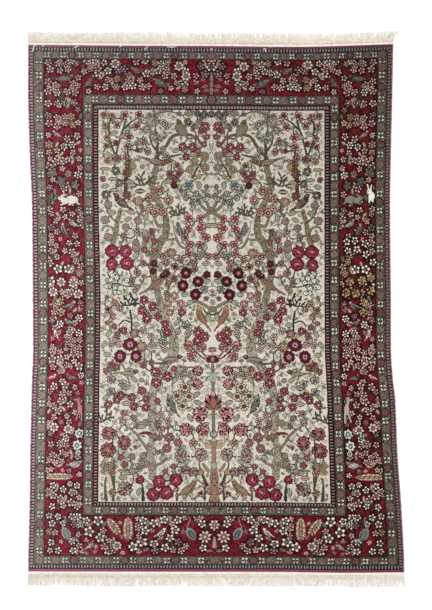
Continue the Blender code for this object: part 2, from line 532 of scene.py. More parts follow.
def paint_bird(chart, row):
    """A bird in profile: the angle is where its head points, mirror -1 turns its back down."""
    size, plump = row.size * KNOTS_PER_PIXEL * BIRD_SHARE, row.plump
    patch, across, up = window(chart, place_of(row), size)
    along, side = turned(across, up, row.angle)
    along, side = along / size, side * row.mirror / size
    shape = oval(along, side, 0, 0, 0.34, plump)
    shape |= oval(along, side, 0.24, 0.06, 0.16, plump * 0.62)
    back = (along < -0.2) & (along > -0.62 * row.tail)
    shape |= back & (np.abs(side + 0.16 * (along + 0.2)) < 0.080 * (1 + 1.1 * along))
    beak = (along > 0.42) & (along < 0.56)
    shape |= beak & (np.abs(side - 0.10) < (0.56 - along) * 0.32)
    if row.legs:
        foot = (side < -0.8 * plump) & (side > -0.16 - plump)
        shape |= foot & (np.abs(along - 0.04) < 0.6 / size)
        shape |= foot & (np.abs(along + 0.08) < 0.6 / size)
    lay(patch, shape, row.body, row.line)
    speck = window(SPECKLE, place_of(row), size)[0]
    patch[shape & (speck > 0.40)] = NAMES[row.wing]
    patch[shape & (speck < -0.50)] = NAMES[row.line]
    lay(patch, oval(along, side, 0.36, 0.10, 0.115, 0.10), row.head, row.line)
    folded = oval(along, side, -0.10, 0.02, 0.28, plump * 0.66)
    lay(patch, folded, row.wing, row.line)
    stripes = np.sin((side + 0.25 * along**2) * size * 1.35)
    patch[folded & (stripes > 0.35)] = NAMES[row.body]
    patch[folded & (stripes < -0.75)] = NAMES[row.line]
    patch[oval(along, side, 0.38, 0.12, 0.9 / size, 0.9 / size)] = NAMES["cream"]


# The parts of each beast, in shares of its size, from its middle: an oval's place and half
# sizes, or a strip's two ends and half width.
Part = namedtuple("Part", "beast wool forms")
BEAST_PARTS = read(Part, """
hare body: -0.18,-0.01,0.29,0.17 0.08,-0.05,0.26,0.13 0.33,0.05,0.14,0.085
  0.1,-0.16,0.33,-0.24,0.03 -0.22,-0.17,-0.06,-0.23,0.03 -0.4,-0.12,-0.5,-0.2,0.034
  0.26,0.13,0.04,0.22,0.019 0.31,0.14,0.13,0.27,0.017
hare shade: 0.2,0.08,0.02,0.06,0.014 -0.02,-0.16,-0.04,0.02,0.014
hare line: 0.36,0.07,0.028,0.028
sitting_hare body: 0.04,-0.16,0.17,0.24 -0.08,0.1,0.14,0.12 -0.12,0.16,-0.2,0.46,0.034
  -0.03,0.16,0.03,0.44,0.034 -0.08,-0.2,-0.1,-0.46,0.036 0.12,-0.3,0.1,-0.46,0.036
sitting_hare line: -0.14,0.12,0.03,0.03
deer body: -0.03,-0.03,0.095,0.19 -0.01,0.05,0.04,0.3,0.05 0.03,0.33,0.19,0.35,0.04
  -0.1,-0.15,-0.1,-0.5,0.034 0.02,-0.15,0.12,-0.46,0.03 0.02,0.36,-0.03,0.416,0.024
  0.07,0.37,0.06,0.436,0.022
""")

# The hares and deer of the side borders, which differ from side to side.
Beast = namedtuple("Beast", "name across down size facing body shade line")
BEASTS = read(Beast, """
hare 67.8 200.6 46 -1 ivory haze maroon
hare 354 199.8 42 1 bark_light stalk maroon
sitting_hare 371 194.5 38 1 white - maroon
deer 79 409 50 -1 blush - maroon
deer 347.5 409 54 1 fawn - maroon
""")


def paint_beast(chart, row):
    """A hare or a deer in profile, facing 1 to the right or -1 to the left."""
    patch, across, up = window(chart, place_of(row), row.size)
    along, side = across * row.facing / row.size, up / row.size
    for part in BEAST_PARTS:
        if part.beast != row.name:
            continue
        shape = np.zeros(patch.shape, bool)
        for form in part.forms:
            shape |= (oval if len(form) == 4 else strip)(along, side, *form)
        lay(patch, shape, getattr(row, part.wool), row.line if part.wool == "body" else None, 2)


def paint_bush(chart, row):
    """A small bush: arms that fan out from its foot, with thick ends and knobs on both sides."""
    chance = random.Random(row.across)
    size, place = row.size * KNOTS_PER_PIXEL, place_of(row)
    foot = (place[0], place[1] - size)
    for k in range(5):
        angle = 12 + 39 * k + chance.uniform(-9, 9)
        far = size * chance.uniform(1.5, 1.9) * (0.72 + 0.28 * math.sin(math.radians(angle)))
        curl = chance.uniform(-0.25, 0.25) * far
        middle = step(step(foot, angle, far / 2), angle + 90, curl)
        stem(chart, ((*foot, 3.2), (*middle, 3.2), (*step(foot, angle, far), 4.4)), row.wool)
        for side, start in ((-1, 0.70), (1, 1.20)):
            lean = angle + side * math.degrees(chance.uniform(0.7, 1.1))
            root = [a + (b - a) * start for a, b in zip(foot, middle)]
            stem(chart, ((*root, 2.8), (*step(root, lean, size * 0.45), 4.0)), row.wool)


def twig(chart, place, size, chance, wools, line):
    """A short bent stem with a leaf on each side and one at its tip."""
    angle = chance.uniform(20, 160)
    foot, tip = step(place, angle, -size * 0.6), step(place, angle, size * 0.4)
    stem(chart, ((*foot, 1.4), (*step(place, angle - 90, 1), 1.6), (*tip, 1.4)), line)
    leaf(chart, step(tip, angle, 2), size * 0.55, 3.0, angle, chance.choice(wools), line)
    for lean in (angle - 55, angle + 55):
        end = step(place, lean, size * 0.30)
        leaf(chart, end, size * 0.55, 2.8, lean, chance.choice(wools), line)


# ---- where the motifs grow
Planting = namedtuple("Planting", "bloom radius places")
FIELD_FLOWERS = read(Planting, """
haze 3.5: 188,114 198.5,123 163,150 150,117
haze 2.8: 148,125 146,133 151,133 158,115 164,112 156,122 153,140
hazegreen 4: 163,123.5 167,126 166,157
dots 2.3: 158,137 162,140 166,136 164,132.5 157,142 185,266 160,267
blush 3.4: 103.5,116 112,117 104.5,126.5 107,138.5 106.5,147 127.5,147.5 126,158 129,162 107,162
  177.5,166
blush 4.3: 124.5,116 139,116 136.5,127 117,126 128.5,137.5 185,238
bell 3.2: 116,144 137,151
slate 3.1: 136.5,144 179.5,114.5 206.5,187.5
slate 3.7: 197.5,114 204,115.5 188,123 211.5,115
mottle 3.6: 115,158 143.5,142 148,152 124,237.5 137,234 123,423 161,430 158,423
plum 3.5: 206,127 202,131.5 170,174 179,174 176,178 117,159.5 152,232 174,279 111,365 143,366
  117,336 151.5,363
plum 2.6: 193,130 196,138.5 169,178 143,211.5 137,427.5 168,428
crimson 3.3: 207,137.5 146,240 154,242 144.5,250.5 114,327 117,368 106,371.5 174,369 157.5,401.5
  121,457.5 124,465 173.5,467 165,472 198,151.5 204,145
ruby 4.2: 182.5,147.5 192.5,148 186,157.5 123.5,331 182,313 158,317 167,333 165,325 157,373
  132,398 142,391 146,399.5 134,407 145.5,408 108,405 117,400.5 121,396
ruby 4.8: 167.5,377 156,383 154.5,372 198,333 197.5,341 205,337 153,307 147,319 144,300.5 142,311
  205.5,127
poppy 6.6: 112,252 125.5,252 111.5,265 127,264 176,480 159,482 166.5,493 153,495
rose 4.2: 188.5,219 200,219 188,229 206.5,238.5 189,245 200,245.5 189,254.5
rose 4.8: 201,229
tan 4.3: 194.5,162 190,170 204.5,156.5 205,168
sun 3.2: 133,167 199,177 201,472
fire 4.6: 127,174 127,196
night 4.2: 115.5,171.5 119.5,184 106,195.5
rosemist 4.1: 108,205.5 105,221 126,228 138,221 136,244 136,249 108,238
speck 5: 138,202 171.5,253.5 142,347 134.5,334
daisy 4.9: 150,198 151.5,209.5 160,191 168.5,200.5 163,212.5 155,213
wine 3.7: 174,186 154,264 153,272 207,275 166,274.5
bluebell 4.8: 188.5,185.5
frost 3.1: 184,193 186,198.5 196,194 206,199.5 196,204
frost 4.1: 193,204 199,256 204.5,290 186,325 163,341
brown 3.8: 180.5,260 166,263 175,267.5 143,264 162,256.5 194,263 195,269.5 208,257 154,252.5
brown 3.3: 168,284 167,294 107,298 115,303 108,310 120,309 107,323.5 113,317 134,418.5 124,413.5
  185,369 137,273 132,280 144,277 137,288
burgundy 5.7: 186,273.5 183,286 198,282 195.5,295
salmon 3.8: 174.5,296 168,304 181,304 170,313
pearl 2.5: 112.5,276.5 110.5,280.5 116.5,278.5 122,278.5 127,281 120,282.5 109,287 114.5,288.5
  115,293 119,293 106,287
trefoil 6.7: 130,345 120,357 136,357
misty 3.6: 178,332 188,334 143,331 119,345 111,345 178,376 190,375 160,415 168,421 152,346 165,350
  151,337
rust 5.3: 188,346 202,347.5 192,357
snow 4.5: 111,380 122.5,384 111,392
sunny 4.9: 185,387.5 177,396 189,397 182.5,406.5
half 5.5: 198,371 197.5,384.5
bigred 7.4: 108.5,434 124,443 108,450.5
mottle 3: 149,446 144,455 142,463.5 157,453
bigplum 7.2: 200,414 186,430 203,430
dusk 4.5: 169,437.5 178,443 167,448.5
rosemist 3.4: 142,464 132,457 132,471.5 146,423 143,456
bigmist 7.3: 181,456 201,455 125,489
bigmist 5: 193,472 186,470
orange 3.2: 103,464 111,465.5 103,472
orange 4: 112,473 112,493 193,443
poppy 4.2: 140,480
half 3: 205,485 176.5,489.5 200,494.5 209,492
""")

# Each point of a limb is across, down and its width; the grain is its bark's light and dark.
Limb = namedtuple("Limb", "wool line grain points")
LIMBS = read(Limb, """
bark olive bark_light/olive: 156,160,4 156,168,6 154,178,6.5 152,188,6.5 156,198,6.5 160,206,7
  165,216,6 166.5,226,7 165,236,8 160,244,9 155,252,9 153,262,8.5 153,272,8 155,284,7 158,295,7
  161,305,7
bark_light stalk sand/stalk: 161,305,7 164,315,7 168,325,8.5 172,335,10 174,345,11 173,355,11.5
  168,362,9 162,370,9 157,378,9 154,388,8 152,398,9 152,410,9.5 152,420,9 153,430,8 152,440,6
  150,450,8 150,458,9.5 152,466,9 152,474,7 151,478,4
bark olive tan/olive: 120,211,4 117,225,4.5 114,240,5 112,247,5
brown dark camel/dark: 127,166,3 126,176,4 126,186,4 125,195,3
umber stalk -: 156,158,3 166,147,2.8 170,140,2.8 175,136,2.6 186,135,2.4 196,138,2 201,144,1.6
olive - -: 158,160,2 157,150,2.5 158,140,1.5 155,128,1.2 158,118,1
moss - -: 155,150,1.5 151,143,1.2 150,136,1
olive - -: 163,157,1.5 172,157,1.5 181,155,1.2
olive - -: 193,178,1.8 196,171,1.6 200,165,1.2 203,159,1
bark olive -: 165,226,2 158,226,1.8 155,220,1.2 153,215,1
bark - -: 173,221,1.2 174,232,1.5 176,239,2 168,240,3
bark - -: 176,239,2 181,247,2 188,250,1
bark moss -: 199,202,1.8 204,209,2.6 212,213,2.8
bark moss -: 212,212,2.2 205,216,1.8 201,219,1.2
bark moss -: 212,211,1.8 208,206,1.5 206,201,1.3 206,197,1.2 209,195,1.2 210.5,198,1
olive - -: 107,200,1 107,212,1 112,219,1.2 117,223,1.5
leaf moss -: 102,231,1 105,227,1 111,228,1 114,232,1.2
moss - -: 104,127,1 109,131,1.3 109,139,1.3 112,148,1.5 115,156,1.5
moss - -: 112,118,1 109,125,1.2 109,133,1.3
moss - -: 126,120,1.2 124,128,1.5 121,136,1.5 118,147,1.4 116,156,1.4
moss - -: 139,118,1 131,123,1.3 125,129,1.5
moss - -: 127,148,1 128,157,1.2 125,166,1.2
pine - -: 130,311,1.4 131.5,321,1.6 131.5,332,1.4
moss - -: 131,323,1.2 124,321,1.2 119,326,1
moss - -: 112,284,0.8 119,285,1 126,287,1 133,287,0.8
crimson wine -: 140,434,0.8 146,433,1.4 151,434.5,1.2
bark moss -: 186,307,1 195,302,2.2 204,305,2.6 212,311,3.4
bark moss -: 212,308,3 207,316,2 203,323,1.2
moss - -: 212,315,1.2 206,313,1.2 203,308,1
brown - -: 201,351,1 205,356,1.2 209,359,1.6
brown - -: 193,349,1 200,356,1.2 206,360,1.2
olive - -: 178,361,1.2 170,362,1.5 160,364,1.5 148,362,1
bark stalk -: 130,429,1 137,435,1.2 141,441,1.2 147,449,1.4
bark olive -: 136,467,1.2 142,468,2 150,465,3
bark olive -: 155,466,3 162,463,2 167,459,1.2
pine - -: 142,485,1.4 143,492,1.8 143,500,2.4
bark olive -: 212.6,360,1.2 212.6,372,1.2 212.8,384,1.3 213,392,1.3
bark olive -: 213,404,1.3 213,418,1.2 213.2,430,1.2 213.5,440,1.5
tan brown blush/brown: 213.8,446,4.4 213.9,458,4 214,466,5 214,476,8 214.2,488,8.6 214.4,502,11
tan brown -: 208,471,3 205,467,2.4 203,464,1.4
moss - -: 208,486,1.4 204,477,1.2 202,470,1
moss - -: 205,487,1 205,500,1.6
moss - -: 201,495,1 205,500,1.2
moss - -: 176.5,491,1 177,500,1.6
olive - -: 106,478,1.4 105,485,1.6 106,500,2.5
olive - -: 114,466,4 113,478,5 114,488,3 113,500,4
""")

# Each place of a sprig is across, down and its angle.
Sprig = namedtuple("Sprig", "wool line length width places")
SPRIGS = read(Sprig, """
pale_leaf olive 7 3.4: 114,134,20 109,156,-30 105,187,10 112,214,40 146,218,80 145,234,60
  205,248,90 207,282,20 177,323,45 185,295,10 190,303,20 107,355,5 142,427,0 175,380,60 180,370,20
  163,458,30 187,462,20 139,492,80 150,487,10 136,325,0 109,334,60 176,151,20 199,186,90
  136,256,60 187,391,30 106,398,30 208,318,80 128,220,20 104,345,60 134,380,-40
sand moss 8 3.4: 123,137,20 131,213,-15 140,192,5 130,183,0 168,182,10 193,155,10 126,404,0
  127,388,20 128,473,0 198,403,-20 196,395,30 203,225,-20 209,226,20 206,264,10 131,371,-20
  160,387,60 115,340,70 172,413,50 190,418,-60 155,246,50 123,478,0 200,330,-30 205,425,20
  183,449,60
sand stalk 9 2: 105,170,0 114,191,5 140,192,0 133,163,70 113,180,0
""")

Bird = namedtuple("Bird",
                  "across down size plump angle body wing head line mirror legs tail")
FIELD_BIRDS = read(Bird, """
181 130 23 0.25 122 bark bark_light olive olive -1 0 0.9
158 163 27 0.13 -10 umber sand umber brown 1 0 1.4
121 203 24 0.17 140 brown dim brown dark -1 0 1.1
179 231 18 0.2 112 haze slate slate taupe -1 0 1
157 284 29 0.15 38 tan rosy wine brown 1 0 1.3
201 317 26 0.15 118 orange tan tan brown -1 0 1.2
172 360 23 0.14 5 bark_light haze brown brown 1 0 1.1
129 374 21 0.14 2 leaf sand brown moss 1 0 1.3
171 405 23 0.17 118 moss haze leaf pine -1 0 1.2
155 437 18 0.17 -12 rosy tan camel brown 1 0 1
188 490 25 0.17 34 camel sand camel brown 1 1 1
""")
Bush = namedtuple("Bush", "across down size wool")
BUSHES = read(Bush, """
144 178 8 olive
179 209 7 olive
130 299 7 pine
138 257 5 haze
105 414 7 stalk
""")

# The palmettes and buds up the middle of the field, and the flower among them, sized in knots.
Palmette = namedtuple("Palmette", "across down width height petal rib heart line")
PALMETTES = read(Palmette, """
212.6 358 27 18 crimson wine leaf wine
213 400 33 38 rosy wine orange dark
213.5 443 34 20 sand bark tan stalk
""")
Bud = namedtuple("Bud", "across down length width wool line vein")
BUDS = read(Bud, """
212.6 378 18 11 pale_leaf moss leaf
214 466 13 9 pale_leaf moss gold
""")
TREE_FLOWER = (213.2, 434)

BORDER_FLOWERS = read(Planting, """
petal 3.6: 48,64 58,65 50,71 68,71 48,83 73,85 66,186 48,93 67,93 75,94 57,128 49,125 48,264
cream 3.6: 48,105 57,105 77,137 67,140 48,167 64,190 83,226 51,244 72,253 50,264 73,355 79,355
  70,405 58,412
snowy 4.7: 58,270 68,270 50,282
ringed 4.8: 61,283 73,284 53,293 68,294.5 78,295
snowy 3.4: 77,486 63,490 53,486 52,507 63,506 77,507 49,516 58,517 63,524 72,517 52,524 78,517
  72,542 58,551 51,543 73,551
frosty 3.6: 71,62 57,94 64,148 72,146 78,176 66,439 60,325 79,319 78,525 79,334 70,333
orchid 3.5: 64,104 74,104 48,117 74,525 79,211 51,229 52,321 67,343 51,434
honey 3.4: 71,118 65,124 73,126 49,146 68,175 79,274 49,532 76,262
cream 3.1: 57,119 73,154 79,160 68,161 50,210 63,211 80,219 72,215 57,233 51,237 75,237 56,247
  69,244 77,245 65,252 51,252 57,258 81,267 74,362 75,324 69,295 55,329 62,382 49,405 75,413
  54,407 67,417 48,424 69,423 62,453 52,455 66,446 51,445 59,444 57,458 48,471 55,533 50,551
  79,546 79,498 48,491 78,535
petal 3.1: 79,195 51,215 56,222 80,341 74,341 66,350 79,348 73,349 60,353 51,352 52,347 67,366
  53,368 60,372 50,392 62,395 69,394 75,388 48,400 54,418 78,457 66,455 55,463 48,461 62,462
cream 4.1: 56,163 64,162 60,360 52,360 79,367 54,387 65,386 61,402 72,493 53,496 60,499 71,503
ringed 4.6: 54,428 68,430
ice 5.2: 79,434 77,446
ice 3.6: 78,453.5
lily 5.2: 52,174 61,183 75,186
gilt 4.6: 60,303 61,313
cream 3: 60,72 78,79 84,73 55,86 78,124 57,152 53,181 65,218 65,231 62,293 54,313 67,358 118,71
  152,73 165,77 171,89 169,518 172,524 109,541
petal 3: 66,66 76,65 78,87 65,118 49,154 50,160 80,169 73,225 81,284 54,306 67,337 51,470 129,76
  185,63 177,84 138,519 184,518 197,518
# along the top
snowy 3.5: 86,62 95,63 104,64 98,75 108,72 105,88 125,88 146,75 145,62 161,65 158,72 133,87 210,68
  186,72 185,86
petal 3.5: 90,70 98,70 136,63 108,81 128,82 140,81 166,71 174,77 148,87 211,62 142,88
orchid 4: 124,70 201,67 205,75 118,71
ringed 4.5: 115,65 179,67 186,77
honey 3.4: 117,80 116,88 168,63 155,64 185,90
# along the bottom
snowy 5: 98,521 89,532 100,538 133,547 142,542
snowy 4: 86,521 143,521 145,531 154,523 164,520 170,538 154,544 165,548 202,524 178,520 107,551
  203,548 175,530
petal 3.4: 103,531 104,547 138,528 139,536 173,550 186,546 181,551
orchid 3.8: 178,542 112,551 155,551
ringed 4.6: 117,546
great 6.2: 205,537 215,525
""")

# The right border alone has these, and its outer teeth are duller.
RIGHT_TEETH = (("lilac", "dim"), ("maroon", "plum"))
RIGHT_FLOWERS = read(Planting, """
gilt 4.6: 350,282 362,281 371,278 346,293 356,294 371,291
snowy 3.7: 347,242 355,241 365,244 348,251 357,250 366,255 373,263
""")

BORDER_SPRIGS = read(Sprig, """
blush wine 7 3: 205,87,10 203,80,30 207,91,-10
sand brown 5.5 2.4: 57,146,60 55,298,70 78,144,30 62,265,60 75,311,45 49,412,60 60,466,30
leaf dark 7 2.6: 81,117,60 81,259,80 55,301,30 80,424,60 209,551,0 146,550,20 104,525,60 127,75,0
  51,198,70 55,193,100 53,203,80 56,199,50
""")

BORDER_BIRDS = read(Bird, """
65 80 21 0.17 8 taupe haze umber dark 1 0 1.8
57 136 13 0.17 150 haze pink haze dark -1 0 1
70 306 15 0.17 20 haze slate haze dark 1 1 1
69 323 12 0.17 160 haze leaf haze dark -1 0 1
56 336 12 0.17 120 white leaf white dark -1 0 1.1
52 378 11 0.17 20 cream gold cream brown 1 0 1
71 378 14 0.17 160 taupe haze umber dark -1 0 1.1
75 465 17 0.22 10 haze ivory leaf dark 1 0 0.9
73 224.5 15 0.2 150 haze ivory haze dark -1 0 0.9
64 231 16 0.17 120 haze slate haze dark -1 0 1
136 71 17 0.17 -20 umber dim taupe dark 1 0 1
90 83 18 0.18 45 umber dim taupe dark 1 0 1
161 84 21 0.19 -25 taupe haze umber dark 1 0 1.2
90 546 14 0.17 40 haze ivory taupe dark 1 0 1
161 533 14 0.17 35 white sea white dark 1 0 1
""")
Plume = namedtuple("Plume", "across down length width angle")
PLUMES = read(Plume, """
60 477 27 5.5 0
113 526 17 8 125
128 528 21 9 90
113 545 12 6 120
""")
Spray = namedtuple("Spray", "across down size angle wool")
SPRAYS = read(Spray, """
48 204 14 80 olive
215 544 12 90 pale_leaf
62 101 16 100 olive
""")
Crane = namedtuple("Crane", "across down body wing neck")
CRANES = read(Crane, """
191 534 haze slate blush
66 534 haze sea haze
""")
BORDER_TREE = ((212, 94, 4.0), (212, 84, 3.6), (212, 74, 3.0))

# The guards' pale blossoms, along the sides by how far down they are in the photo, and along the
# ends by how far across. Each end's row stands so far down in the photo, at a row of the chart,
# and its last blossom stands so many knots past the centre.
SIDE_BLOSSOMS = (62, 77, 101, 120, 137, 156, 176, 195, 212, 231, 250, 267, 286, 305, 322, 339,
                 355, 371, 388, 404, 421, 437, 460, 476, 497, 515, 533, 551)
INNER_SIDE_BLOSSOMS = 24
OUTER_COLUMN, INNER_COLUMN = 18.5, 116.5
OUTER_LOW, OUTER_HIGH = 22, ROWS - 20
INNER_LOW, INNER_HIGH = 122, ROWS - 108
GuardEnd = namedtuple("GuardEnd", "down row past size blossoms")
GUARD_ENDS = (
    GuardEnd(56, OUTER_HIGH, 18, 7.0, (47, 63, 81, 96, 116, 131, 147, 166, 184.5, 200.5)),
    GuardEnd(560, OUTER_LOW, 24, 7.6, (47, 65, 83, 98, 116, 133, 149.5, 167, 184, 201)),
    GuardEnd(99, INNER_HIGH, 24, 8.0, (95, 112, 129.6, 147.2, 164.7, 182.4, 199.2)),
    GuardEnd(510, INNER_LOW, 26, 7.2, (98, 114, 132, 148, 165.6, 183.2, 199.2)),
)
GUARD_SIZE = 8.0
GUARD_ACROSS = 60

# The frame's bands, from the outside in: their names and grounds, and the knots to each one's
# inner edge along the sides, the top and the bottom.
Band = namedtuple("Band", "name ground side top bottom")
BANDS = read(Band, """
edge edge 0.5 4 5
outer_teeth maroon 7 11 13
line dark 8 12 14
outer_guard ash 28 27 31
line dark 30 28 32
main red 105 97 111
line dark 107 98 113
inner_guard ash 126 117 130
line dark 127 118 131
inner_teeth maroon 137 127 138
line dark 138 128 139
""")
TOOTH_PITCH = 6
GUARD_VINE_PITCH = 34.9


def band_levels():
    """How many bands in from the outside each knot lies, fractions too, and its run along."""
    rows, columns = np.mgrid[0:ROWS, 0:HALF_WIDTH]
    columns = CENTRE - np.abs(CENTRE - columns)
    steps = range(len(BANDS) + 1)

    def level(distance, edges):
        return np.interp(distance + 0.5, (0, *edges), steps)

    from_side = level(columns, [band.side for band in BANDS])
    from_top = level(ROWS - 1 - rows, [band.top for band in BANDS])
    from_bottom = level(rows, [band.bottom for band in BANDS])
    from_end = np.minimum(from_top, from_bottom)
    run = np.where(from_end < from_side, columns - CENTRE, rows)
    return np.minimum(from_side, from_end), run, from_end < from_side


def within(level, name):
    """The knots of one band of the frame."""
    index = [band.name for band in BANDS].index(name)
    return (level >= index) & (level < index + 1)


def paint_grounds(chart, level, run, at_end):
    """The field's ivory, the red border, and the guards' and the teeth's patterned grounds."""
    chart[:] = NAMES["ivory"]
    at_top = np.arange(ROWS)[:, None] > ROWS / 2
    for k, band in enumerate(BANDS):
        inside = (level >= k) & (level < k + 1)
        depth = level - k

        def dye(wool, where=True):
            chart[inside & where] = NAMES[wool]

        dye(band.ground)
        if band.name == "outer_teeth":
            tooth = np.mod(run + 3, TOOTH_PITCH) < 2.4
            dye("lilac", tooth & ~at_end & (depth > 0.08) & (depth < 0.80))
            dye("haze", tooth & at_end & (depth > 0.20))
            dye("ash", ~at_end & (depth > 0.84))
        elif band.name == "inner_teeth":
            share = np.where(at_end, np.where(at_top, 4, 3), 2)
            tooth = np.mod(run, TOOTH_PITCH) < share
            dye("dim", tooth & (depth > 0.18) & (depth < 0.82))
        elif band.name in ("outer_guard", "inner_guard"):
            swing = 0.5 + 0.30 * np.sin(2 * np.pi * run / GUARD_VINE_PITCH)
            dye("sand", np.abs(depth - swing) < 0.05)
            dye("tan", np.abs(depth - 1 + swing) < 0.05)
            dye("stalk", FLECK < 0.22)
            dye("haze", FLECK > 0.90)
            dye("rosy", SPECKLE > 0.45)
            dye("pine", SPECKLE < -0.44)
            dye("moss", (depth < 0.06) | (depth > 0.94))


def guard_run(chart, places, size):
    """Pale blossoms along a guard, with a netted rosette between each two."""
    for k, place in enumerate(places):
        flower(chart, place, size * 0.88, "blossom", 0.785)
        if k + 1 < len(places):
            middle = [(a + b) / 2 for a, b in zip(place, places[k + 1])]
            flower(chart, middle, size * 0.94, "rosette_rust" if k % 3 == 1 else "rosette", 0.4)


def paint_guards(chart, _):
    """Both guards' blossoms and their corners, which leave nothing to chance."""
    sides = [(OUTER_COLUMN, knot_place((GUARD_ACROSS, down))[1]) for down in SIDE_BLOSSOMS]
    guard_run(chart, sides, GUARD_SIZE)
    gap = (INNER_HIGH - INNER_LOW) / INNER_SIDE_BLOSSOMS
    sides = [(INNER_COLUMN, INNER_LOW + gap * (k + 0.5)) for k in range(INNER_SIDE_BLOSSOMS)]
    guard_run(chart, sides, GUARD_SIZE)
    for end in GUARD_ENDS:
        places = [(knot_place((across, end.down))[0], end.row) for across in end.blossoms]
        guard_run(chart, places + [(CENTRE + end.past, end.row)], end.size)
    for corner in ((OUTER_COLUMN, OUTER_LOW), (OUTER_COLUMN, OUTER_HIGH),
                   (INNER_COLUMN, INNER_LOW), (INNER_COLUMN, INNER_HIGH)):
        flower(chart, corner, GUARD_SIZE, "rosette", 0.2)
    flower(chart, (CENTRE, INNER_HIGH), 9, "rosette_rust", 0.2)


def vine(chart, places, wool, reach, width, chance, leaves=(), leafy=0.8):
    """Curved stems that join each place to its nearest neighbours, with leaves half-way."""
    for k, (column, row) in enumerate(places):
        near = sorted((math.hypot(c - column, r - row), c, r) for c, r in places[:k])[:2]
        for far, column_2, row_2 in near:
            if far > reach:
                continue
            lean = chance.uniform(-0.3, 0.3)
            middle = ((column + column_2) / 2 - (row_2 - row) * lean,
                      (row + row_2) / 2 + (column_2 - column) * lean)
            stem(chart, ((column, row, width), (*middle, width), (column_2, row_2, width)), wool)
            if leaves and far > 12 and chance.random() < leafy:
                way = math.degrees(math.atan2(row_2 - row, column_2 - column))
                for side in (-1, 1):
                    angle = way + side * chance.uniform(45, 75)
                    leaf(chart, step(middle, angle, 5), 10, 4.4, angle, chance.choice(leaves), wool)


LINE_ROOM = 0.8  # knots that a flower's dark line takes from its radius
SHADOW_ROOM = 3  # knots that a flower's dark ground reaches past its petals


def spots_of(plantings):
    return [spot for planting in plantings for spot in planting.places]


def plant(chart, plantings, chance, line_room):
    for planting in plantings:
        for spot in planting.places:
            size = planting.radius * KNOTS_PER_PIXEL * chance.uniform(0.93, 1.05) - line_room
            flower(chart, knot_place(spot), size, planting.bloom, chance.uniform(0, 6.28),
                   chance.uniform(0.90, 1.10))


def plant_sprigs(chart, sprigs):
    for sprig in sprigs:
        length, width = sprig.length * KNOTS_PER_PIXEL, sprig.width * KNOTS_PER_PIXEL
        for *spot, angle in sprig.places:
            leaf(chart, knot_place(spot), length, width, angle, sprig.wool, sprig.line,
                 sprig.line, 2)


def shadow(chart, place, size):
    """The dark ground that sets a border flower off."""
    patch, across, up = window(chart, place, size + 2)
    speck = window(BLOTCH, place, size + 2)[0]
    patch[np.hypot(across, up) + 2.5 * speck < size] = NAMES["wine"]


def paint_spray(chart, row):
    """A tall spray of small leaves on one stem."""
    size, place = row.size * KNOTS_PER_PIXEL, place_of(row)
    ends = [(*step(place, row.angle, size * share), 1.4) for share in (-0.5, 0.5)]
    stem(chart, ends, "olive", "dark")
    for k in range(6):
        joint = step(place, row.angle, size * (-0.35 + 0.16 * k))
        long = size * 0.30 * (1 - 0.10 * k)
        for lean in (row.angle - 50, row.angle + 50):
            leaf(chart, step(joint, lean, long / 2), long, 3.4, lean, row.wool, "dark")


def paint_plume(chart, row):
    """A pointed mass of small leaves, netted in pale wools, on a short stalk."""
    length, width, place = row.length * KNOTS_PER_PIXEL, row.width * KNOTS_PER_PIXEL, place_of(row)
    stem(chart, ((*place, 1.6), (*step(place, row.angle, -0.62 * length), 1.6)), "leaf")
    steps = max(round(length / 5.5), 4)
    for k in range(steps):
        out = 0.42 - 0.84 * k / (steps - 1)
        half = width * 0.36 * (1 - (2 * out) ** 2) ** 0.5
        for side in (-1, 1, 0):
            middle = step(place, row.angle, out * length - 2 * side**2)
            middle = step(middle, row.angle + 90, side * half)
            wool = ("sand", "cream", "tan", "sand")[(2 * k + side) % 4]
            leaf(chart, middle, 7, 3.6, row.angle - side * 42, wool, "brown")


def paint_palmette(chart, row):
    """A fan of petals on a stalk, opening upwards."""
    reach = max(row.width, row.height) / 2 + 3
    patch, across, up = window(chart, place_of(row), reach)
    x, y = across / (row.width / 2), up / (row.height / 2)
    angle, far = np.arctan2(x, y + 0.9), np.hypot(x, y + 0.9)
    fold = np.cos(angle * 11)
    rim = 1.75 * np.cos(angle * 0.62) * (1 - 0.10 * (1 - fold))
    inside = (far < rim) & (np.abs(angle) < 2.0)
    lay(patch, inside, row.petal, row.line)
    patch[inside & (fold < -0.25) & (far > 0.55)] = NAMES[row.rib]
    patch[inside & (far > 0.80 * rim) & (fold > 0.3)] = NAMES["pink"]
    lay(patch, (np.hypot(x * 1.9, y + 0.35) < 0.55), row.heart, row.line)


TRUNK_SLIM = 0.84
TWIG_SWELL = 1.45
THIN_LIMB = 2.7


def paint_field(chart, chance):
    places = [knot_place(spot) for spot in spots_of(FIELD_FLOWERS)]
    vine(chart, places, "stalk", 40, 3.0, chance, ("pale_leaf", "ivory", "sand", "leaf"))
    for limb in LIMBS:
        thin = max(width for _, _, width in limb.points) < THIN_LIMB
        slim = TWIG_SWELL if thin else TRUNK_SLIM
        points = [(*knot_place(spot), width * KNOTS_PER_PIXEL * slim)
                  for *spot, width in limb.points]
        stem(chart, points, limb.wool, limb.line, limb.grain and limb.grain.split("/"))
    for row in BUSHES:
        paint_bush(chart, row)
    plant_sprigs(chart, SPRIGS)
    plant(chart, FIELD_FLOWERS, chance, LINE_ROOM)
    for row in PALMETTES:
        paint_palmette(chart, row)
    for row in BUDS:
        leaf(chart, place_of(row), row.length, row.width, 90, row.wool, row.line, row.vein)
    flower(chart, knot_place(TREE_FLOWER), 6, "frost", 0.3)
    for row in FIELD_BIRDS:
        paint_bird(chart, row)


